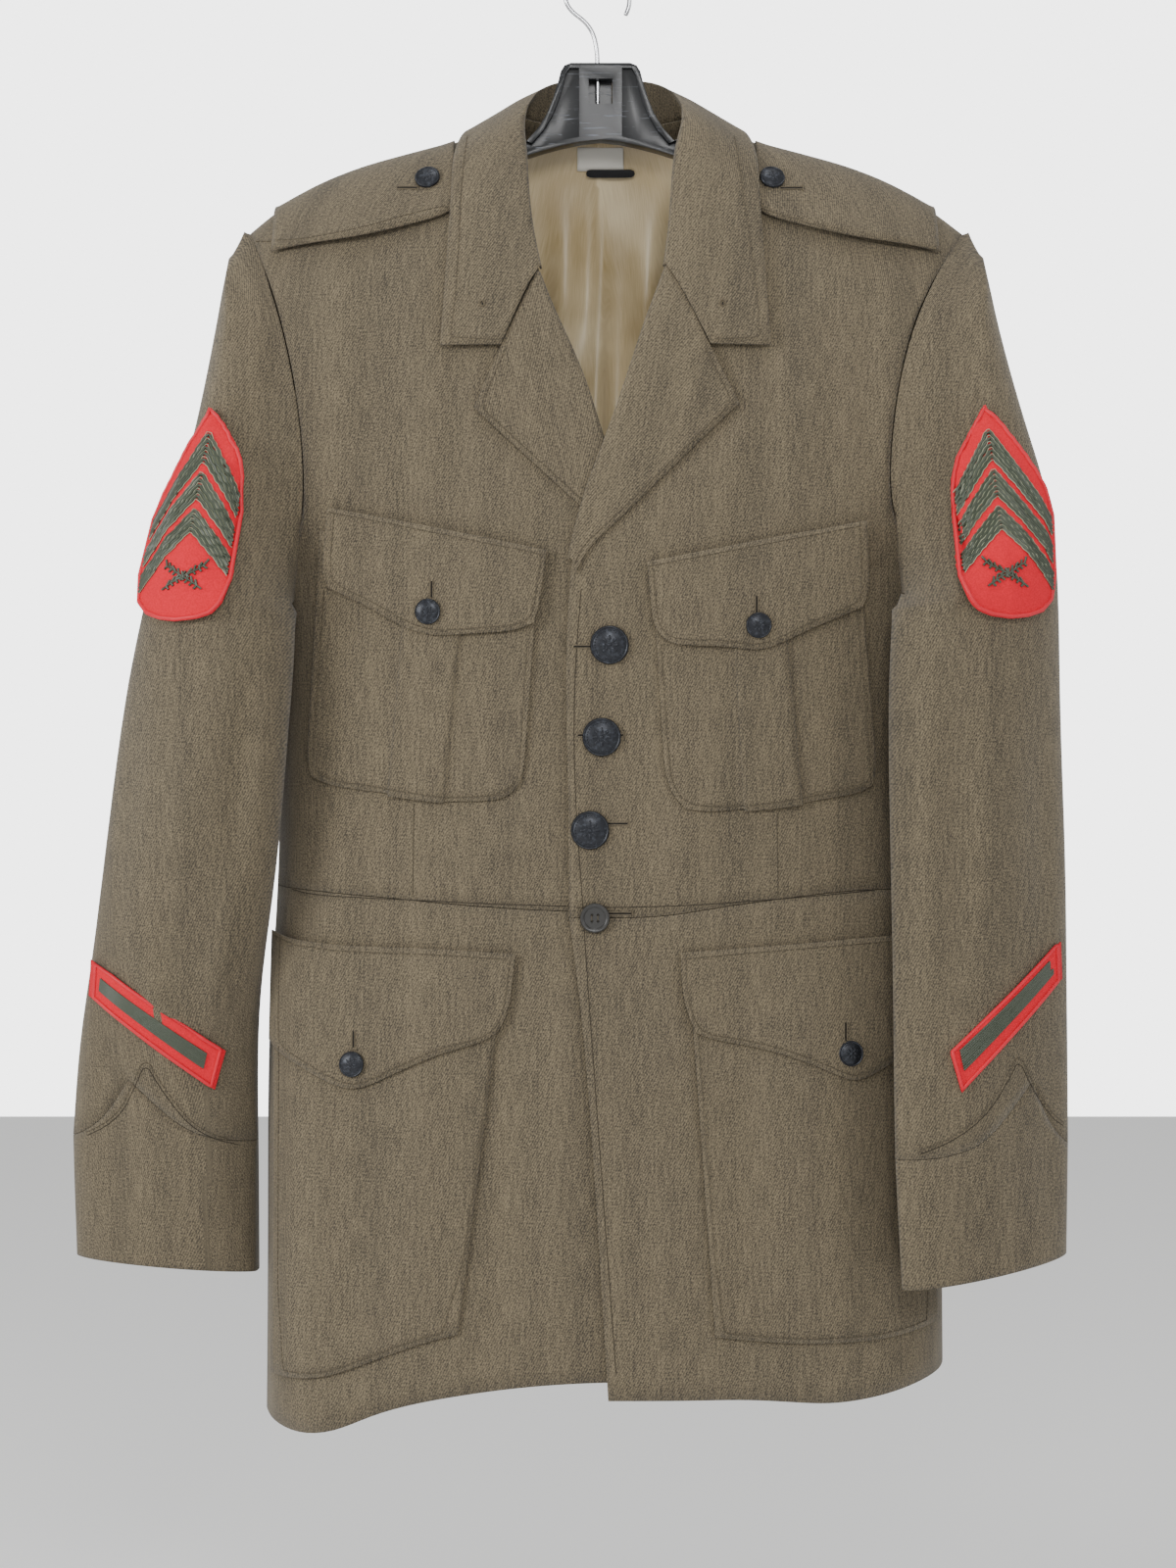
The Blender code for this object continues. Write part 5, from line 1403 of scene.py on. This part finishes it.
@dataclass
class RankPatch:
    """The pointed sleeve badge: felt with a corded edge, three chevrons and crossed plain sprigs."""

    side: Side
    node: str = field(init=False)
    tree: BVHTree = field(init=False)
    way: Vector = field(init=False)
    rows: dict[float, tuple[np.ndarray, np.ndarray]] = field(default_factory=dict)
    THICK = 1.0
    EDGE = 1.5
    SWEEP = 75.0
    MARGIN = 5.0    # the last stretch of each row, from where the badge goes straight on
    LOOK = (0.55, 0.835)    # which way the badge is looked at, inward and away from the viewer
    EDGE_ACROSS, EDGE_DOWN, EDGE_SHIFT = 0.965, 0.977, 0.3    # the cord edge's share of the outline
    CORD_LIFT, PIPING_LIFT, ARM_STEPS, ARM_PAST = 0.35, 0.75, 49, 4
    # Where the badge begins and ends across, and the room that its cords keep from its edge
    ACROSS, CORD_ACROSS, CORD_TOP, CORD_FOOT = (-32, 42), (-28.5, 38.5), 5.5, 4.5
    FELT_COLUMNS, FELT_ROWS, OUTLINE_STEPS = 26, 30, 38
    THREAD_LIFT = 0.5

    def __post_init__(self) -> None:
        """Read the solid that the badge is laid out on."""
        self.node = f"rank_patch_{self.side.value}"
        mesh = frame["nodes"][self.node].data
        self.tree = BVHTree.FromPolygons([v.co.copy() for v in mesh.vertices],
                                         [tuple(f.vertices) for f in mesh.polygons])
        self.way = Vector((-self.side.sign * self.LOOK[0], self.LOOK[1], 0)).normalized()

    def row(self, down: float) -> tuple[np.ndarray, np.ndarray]:
        """Measure the badge across at one height.

        Args:
            down: how far below its apex, in mm.

        Returns:
            Distances across and the points there, in mm.
        """
        key = round(down, 1)
        if key in self.rows:
            return self.rows[key]
        (x_top, z_top), (x_low, z_low) = RANK_MIDDLES[self.side]
        middle = x_top + (x_low - x_top) * key / (z_top - z_low)
        aside = Vector((self.way.y, -self.way.x, 0))
        spots = []
        for step in np.arange(-self.SWEEP, self.SWEEP, 1.0):
            start = Vector((middle, 0, z_top - max(key, 0.6))) + aside * float(step) - self.way * 300
            hit = self.tree.ray_cast(start * MM, self.way)[0]
            if hit is not None:
                spots.append(np.array(hit) / MM)
        spots = np.array(sorted(spots, key=lambda spot: float(np.dot(spot, np.array(aside)))))
        run = np.concatenate([[0], np.cumsum(np.linalg.norm(np.diff(spots, axis=0), axis=1))])
        nearest = int(np.argmin(np.abs(spots[:, 0] - middle)))
        self.rows[key] = (run - run[nearest], spots)
        return self.rows[key]

    def at(self, across: float, down: float, lift: float = 0.0) -> Vector:
        """Find a place on the badge.

        Args:
            across: its distance from the middle line, in mm; towards the back of the arm above zero.
            down: its distance below the apex, in mm.
            lift: how far it stands off.

        Returns:
            The place, in metres.
        """
        run, spots = self.row(down)
        share = across * self.side.sign
        kept = min(max(share, run[0] + self.MARGIN), run[-1] - self.MARGIN)
        before, point, after = (Vector([float(np.interp(kept + by, run, spots[:, k])) for k in range(3)])
                                for by in (-self.MARGIN, 0.0, self.MARGIN))
        along = after - before
        point = point + along * (share - kept) / (2 * self.MARGIN)
        out = Vector((along.y, -along.x, 0)) if along.length > 0.1 else -self.way
        if out.dot(self.way) > 0:
            out = -out
        return (point + out.normalized() * lift) * MM

    @staticmethod
    def limits(across: float) -> tuple[float, float]:
        """The badge's top and foot at a distance across, in mm below the apex."""
        table = np.array(RANK_OUTLINE)
        return (float(np.interp(across, table[:, 0], table[:, 1])),
                float(np.interp(across, table[:, 0], table[:, 2])))

    def build(self) -> None:
        """Make the felt, its edge, the chevrons and the sprigs."""
        self.lay_felt()
        (first, last), steps = self.ACROSS, self.OUTLINE_STEPS
        outline = [(a, self.limits(a)[0]) for a in np.linspace(first, last, steps)]
        outline += [(a, self.limits(a)[1]) for a in np.linspace(last, first, steps)]
        edge = [self.at(a * self.EDGE_ACROSS + self.EDGE_SHIFT,
                        EDGE_MIDDLE + (d - EDGE_MIDDLE) * self.EDGE_DOWN, self.THICK) for a, d in outline]
        side = self.side.value
        threads(f"badge_edge_{side}", [edge], self.EDGE, RED_EDGE, sides=2, closed=True)
        cords, piping = [], []
        for top, foot, end_top, end_foot in CHEVRONS:
            for line in range(CORDS * 2 + 1):
                share = line / (CORDS * 2)
                lift = self.THICK + (self.CORD_LIFT if line % 2 else self.PIPING_LIFT)
                run = []
                apex, end = top + (foot - top) * share, end_top + (end_foot - end_top) * share
                for across in np.linspace(-ARM, ARM + self.ARM_PAST, self.ARM_STEPS):
                    down = apex + (end - apex) * abs(across) / ARM
                    low, high = self.limits(across)
                    if (self.CORD_ACROSS[0] < across < self.CORD_ACROSS[1]
                            and low + self.CORD_TOP < down < high - self.CORD_FOOT):
                        run.append(self.at(across, down, lift))
                (cords if line % 2 else piping).append(run)
        threads(f"badge_chevrons_{side}", cords, 1.22, GREEN_THREAD, sides=1)
        threads(f"badge_piping_{side}", piping, 0.36, PIPING_THREAD)
        self.embroider_sprigs()

    def lay_felt(self) -> None:
        """Lay the felt itself as a thin closed sheet."""
        columns, rows = self.FELT_COLUMNS, self.FELT_ROWS
        fronts, backs = [], []
        for row in range(rows + 1):
            for across in np.linspace(*self.ACROSS, columns + 1):
                top, foot = self.limits(across)
                down = top + (foot - top) * row / rows
                fronts.append(self.at(across, down, self.THICK))
                backs.append(self.at(across, down, -0.2))
        felt = solid(f"badge_felt_{self.side.value}", fronts + backs, closed_grid(rows + 1, columns + 1))
        smooth_by(felt, 50)
        hand_over(felt, RED_FELT)
        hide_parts(self.node)

    def embroider_sprigs(self) -> None:
        """Cross two plain leafed sprigs below the chevrons."""
        stems, leaves = [], []
        lift = self.THICK + self.THREAD_LIFT
        along, off = zip(*SPRIG)
        for way in (1, -1):
            stems.append([self.at(way * a, SPRIG_MIDDLE + d, lift) for a, d in rounded(SPRIG, 2)])
            for a in along[0] + (along[-1] - along[0]) * np.linspace(0.12, 0.98, LEAVES * 2):
                d = float(np.interp(a, along, off))
                for fall in (2.0, -4.0):
                    leaves.append([self.at(way * (a + 2.0 * t), SPRIG_MIDDLE + d + fall * t, lift)
                                   for t in (0.0, 0.35, 0.7, 1.0)])
        side = self.side.value
        threads(f"badge_sprig_stems_{side}", stems, 0.75, GREEN_THREAD, sides=1)
        threads(f"badge_sprig_leaves_{side}", leaves, 0.85, GREEN_THREAD, sides=1)


@dataclass
class ServiceStripe:
    """The slanted stripe above a cuff: red felt, a corded edge and an embroidered green bar."""

    side: Side
    THREADS = 9
    DRAWN_IN = (0.966, 0.95)    # the cord edge's share of the felt's outline, across and up

    def build(self) -> None:
        """Make the stripe over its solid."""
        node = f"service_stripe_{self.side.value}"
        felt = ClothPiece(node, (105, 28), 2800, None, RED_FELT, Slot.BADGE,
                          rests_on=(f"sleeve_{self.side.value}",)).build()
        ground = Surface([felt])
        corners = STRIPE_CORNERS[self.side]
        middle = np.mean(corners, axis=0)
        ring = [tuple(middle + (np.array(c) - middle) * self.DRAWN_IN) for c in corners]
        edge = []
        for a, b in zip(ring, ring[1:] + ring[:1]):
            edge += path_on(ground, [a, b], 0.1, 2.0, 0)
        name = self.side.value
        threads(f"stripe_edge_{name}", [edge], 1.35, RED_EDGE, sides=2, closed=True)
        first, second, third, fourth = (np.array(c, float) for c in STRIPE_BARS[self.side])
        bars = []
        for share in np.linspace(0.04, 0.96, self.THREADS):
            start, end = first + (fourth - first) * share, second + (third - second) * share
            bars.append(path_on(ground, [tuple(start), tuple(end)], 0.3, 3.0, 0))
        threads(f"stripe_bar_{name}", bars, 0.85, GREEN_THREAD, sides=1)


@dataclass
class ArmpitFold:
    """The fullness of a sleeve that lies over its armhole's foot, drawn taut between sleeve and body."""

    side: Side
    coat: Coat
    COLUMNS = 26
    ROWS = 56
    TOP = -292.0
    FOOT = -446.0
    OUTER = 250.0
    EDGE = ((-292, 200.0), (-330, 196.5), (-372, 196.5), (-400, 198.5), (-446, 205.0))
    THICK = 1.0
    ROUNDS = 500
    FALL = 9.0      # the most that its inner edge drops behind the points beside it
    ABOVE, BELOW, LEAST = 1.5, 1.2, 0.5    # its rim behind the cloth, and its middle and the least before it

    def build(self) -> bpy.types.Object:
        """Make the fold.

        Returns:
            The piece.
        """
        ground = self.coat.surface(f"sleeve_{self.side.value}", f"front_upper_{self.side.value}")
        heights = np.linspace(self.TOP, self.FOOT, self.ROWS)
        inner = np.interp(-heights, [-z for z, _ in self.EDGE], [x for _, x in self.EDGE])
        shares = np.linspace(0, 1, self.COLUMNS)
        across = (self.OUTER + (inner[:, None] - self.OUTER) * shares[None, :]) * self.side.sign
        below = np.full((self.ROWS, self.COLUMNS), np.nan)
        for row, z in enumerate(heights):
            for column in range(self.COLUMNS):
                spot = ground.ahead(float(across[row, column]), float(z))
                if spot is not None:
                    below[row, column] = spot.y / MM
        for row in below:
            found = np.flatnonzero(~np.isnan(row))
            row[:] = np.interp(np.arange(self.COLUMNS), found, row[found])
        below[:, -1] = np.minimum(below[:, -1], below[:, -4] + self.FALL)
        held = np.ones_like(below, bool)
        held[1:-1, 1:-1] = False
        depth = np.where(held, below + self.ABOVE, below - self.BELOW)
        for _ in range(self.ROUNDS):
            mean = depth.copy()
            mean[1:-1, 1:-1] = (depth[2:, 1:-1] + depth[:-2, 1:-1] + depth[1:-1, 2:] + depth[1:-1, :-2]) / 4
            depth = np.where(held, depth, np.minimum(mean, below - self.LEAST))
        return self.close(across, heights, depth)

    def close(self, across: np.ndarray, heights: np.ndarray, depth: np.ndarray) -> bpy.types.Object:
        """Give the taut face its back and its edges.

        Args:
            across: each point's place across.
            heights: each row's height.
            depth: each point's place in depth.

        Returns:
            The piece.
        """
        corners = [Vector((across[r, c], depth[r, c] + back * self.THICK, heights[r])) * MM
                   for back in (0, 1) for r in range(self.ROWS) for c in range(self.COLUMNS)]
        obj = solid(f"cloth_armpit_fold_{self.side.value}", corners, closed_grid(self.ROWS, self.COLUMNS))
        piece = ClothPiece(obj.name, (70, 154), 10500, SLEEVE_DRAPES[self.side],
                           rests_on=(f"sleeve_{self.side.value}",))
        piece.lay_out(obj)
        smooth_by(obj, 70)
        hand_over(obj, WOOL)
        return obj


PLAIN_RADIUS = 9.75
PLAIN_BACK = 1.4                               # from the solid's middle back to the button's
HOLE_OFF, HOLE_RADIUS, HOLE_HEIGHT = 2.0, 0.62, 1.51125
THREAD_BOW = 0.4


def build_plain_button() -> None:
    """Turn the four-hole button at the waist."""
    node = "front_button_4"
    plain = Button(node, PLAIN_RADIUS, PLAIN_RINGS)
    points = points_of(frame["nodes"][node])
    out = plain.seat().out
    seat = Seat.on(Vector((points.min(axis=0) + points.max(axis=0)) / 2) * MM - out * PLAIN_BACK * MM, out)
    disc = plain.dome(seat)
    hand_over(settle(disc), BUTTON_RESIN)
    disc.name = "resin_front_button_4"
    smooth_by(disc, 40)
    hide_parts(node)
    holes, middles = [], []
    for a, b in ((1, 1), (1, -1), (-1, -1), (-1, 1)):
        across, up = HOLE_OFF * a, HOLE_OFF * b
        holes.append([seat.at(across + HOLE_RADIUS * math.cos(t), up + HOLE_RADIUS * math.sin(t), HOLE_HEIGHT)
                      for t in np.linspace(0, 5.5, 8)])
        middles.append(seat.at(across, up, HOLE_HEIGHT))
    sewn = [[middles[a], (middles[a] + middles[b]) / 2 + out * THREAD_BOW * MM, middles[b]]
            for a, b in ((0, 1), (3, 2))]
    threads("resin_button_holes", holes, 0.42, SLOT_DARK, closed=True)
    threads("sewing_button_thread", sewn, 0.34, SEWING_THREAD)


# The slot in the hanger's neck: its width, its height and where the dark panel of painted shade behind it
# stands
SLOT_X, SLOT_Z, SLOT_SHADE_Y = (-9.5, 9.5), (-94.0, -73.5), 4.2


def build_hanger() -> None:
    """Dress the moulded hanger, its hook and the coat's own loop, and fill its slot with a dark panel of
    painted shade.
    """
    body = copy_of("hanger_body", "plastic_hanger_body")
    apply_modifier(body, "BEVEL", width=0.9 * MM, segments=2, limit_method="ANGLE",
                   angle_limit=math.radians(35))
    smooth_by(body, 32)
    hand_over(body, HANGER_PLASTIC)
    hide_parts("hanger_body")
    (x0, x1), (z0, z1), y = SLOT_X, SLOT_Z, SLOT_SHADE_Y
    # A dark panel of the hanger's plastic just behind the slot: painted shade, so that the slot looks dark
    # instead of showing the cloth behind it
    corners = [Vector((a, b, c)) * MM for b in (y, y + 1.0) for c in (z1, z0) for a in (x0, x1)]
    slot_shade = solid("plastic_slot_painted_shade", corners, closed_grid(2, 2))
    hand_over(slot_shade, HANGER_PLASTIC)
    for node, finish, slot in (("hanger_hook", HOOK_WIRE, Slot.HOOK), ("hanger_loop", BLACK_TAPE, Slot.TAPE)):
        obj = copy_of(node, f"round_{node}")
        apply_modifier(obj, "SUBSURF", levels=1, render_levels=1)
        smooth_by(obj, 50)
        hand_over(obj, finish)
        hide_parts(node)


SENSOR, LENS = 36.0, 69.23
CAMERA_PLACE = (-6.5, -2050, -553)


def aim_camera() -> None:
    """Set the camera where the photograph's was, level and square to the coat."""
    data = bpy.data.cameras.new("camera")
    data.sensor_fit = "VERTICAL"
    data.sensor_height = SENSOR
    data.lens = LENS
    camera = placed("camera", data)
    camera.location = Vector(CAMERA_PLACE) * MM
    camera.rotation_euler = (math.radians(90), 0, 0)
    bpy.context.scene.camera = camera


@dataclass(frozen=True)
class Light:
    """One soft lamp: where it hangs, what it looks at, its size and its power."""

    name: str
    place: tuple[float, float, float]
    target: tuple[float, float, float]
    size: float
    power: float

    def hang(self) -> None:
        """Put the lamp in the scene."""
        data = bpy.data.lights.new(self.name, "AREA")
        data.shape = "DISK"
        data.size = self.size
        data.energy = self.power
        lamp = placed(self.name, data)
        lamp.location = self.place
        way = Vector(self.target) - Vector(self.place)
        lamp.rotation_euler = way.to_track_quat("-Z", "Y").to_euler()


LIGHTS = (
    Light("light_left", (-2.3, -1.6, 0.1), (-0.1, 0, -0.55), 0.9, 46),
    Light("light_right", (2.6, -1.2, 0.5), (0, 0, -0.5), 1.4, 14),
    Light("light_front", (0.15, -2.6, 0.55), (0, 0, -0.35), 0.7, 24),
    Light("light_top", (0.1, -0.5, 1.9), (0, 0, -0.3), 1.0, 14),
)
ROOM_LIGHT = 0.72    # what the room gives to the coat
ROOM_SEEN = 4.0      # how bright the camera sees it, as the photograph's white
FLOOR_SIZE, FLOOR_Z = 8.0, -1.22


def light_world() -> None:
    """Light the room with an even white."""
    world = bpy.data.worlds.new("room")
    world.use_nodes = True
    tree = world.node_tree
    seen = add_node(tree, "ShaderNodeLightPath", {}, {}).outputs["Is Camera Ray"]
    power = add_node(tree, "ShaderNodeMapRange", {"in:To Min": ROOM_LIGHT, "in:To Max": ROOM_SEEN},
                     {"Value": seen})
    background = tree.nodes["Background"]
    background.inputs["Color"].default_value = (1.0, 1.0, 1.0, 1.0)
    tree.links.new(power.outputs["Result"], background.inputs["Strength"])
    bpy.context.scene.world = world


def lay_floor() -> None:
    """Lay a pale floor below the hem."""
    bpy.ops.mesh.primitive_plane_add(size=FLOOR_SIZE, location=(0, 0, FLOOR_Z))
    floor = settle(bpy.context.object)
    floor.name = "floor"
    floor.data.materials.append(FLOOR.make())


def main() -> None:
    """Build the looks of the coat on its hanger."""
    logging.basicConfig(level=logging.INFO, format="%(message)s", stream=sys.stdout)
    alone(frame["nodes"]["collar"])
    coat = Coat()
    coat.build()
    for node, radius in METAL_BUTTONS.items():
        Button(node, radius).build()
    build_plain_button()
    for side in Side:
        ArmpitFold(side, coat).build()
        RankPatch(side).build()
        ServiceStripe(side).build()
    Sewing(coat).build()
    build_hanger()
    lay_floor()
    light_world()
    for light in LIGHTS:
        light.hang()
    aim_camera()


if __name__ == "__main__":
    main()
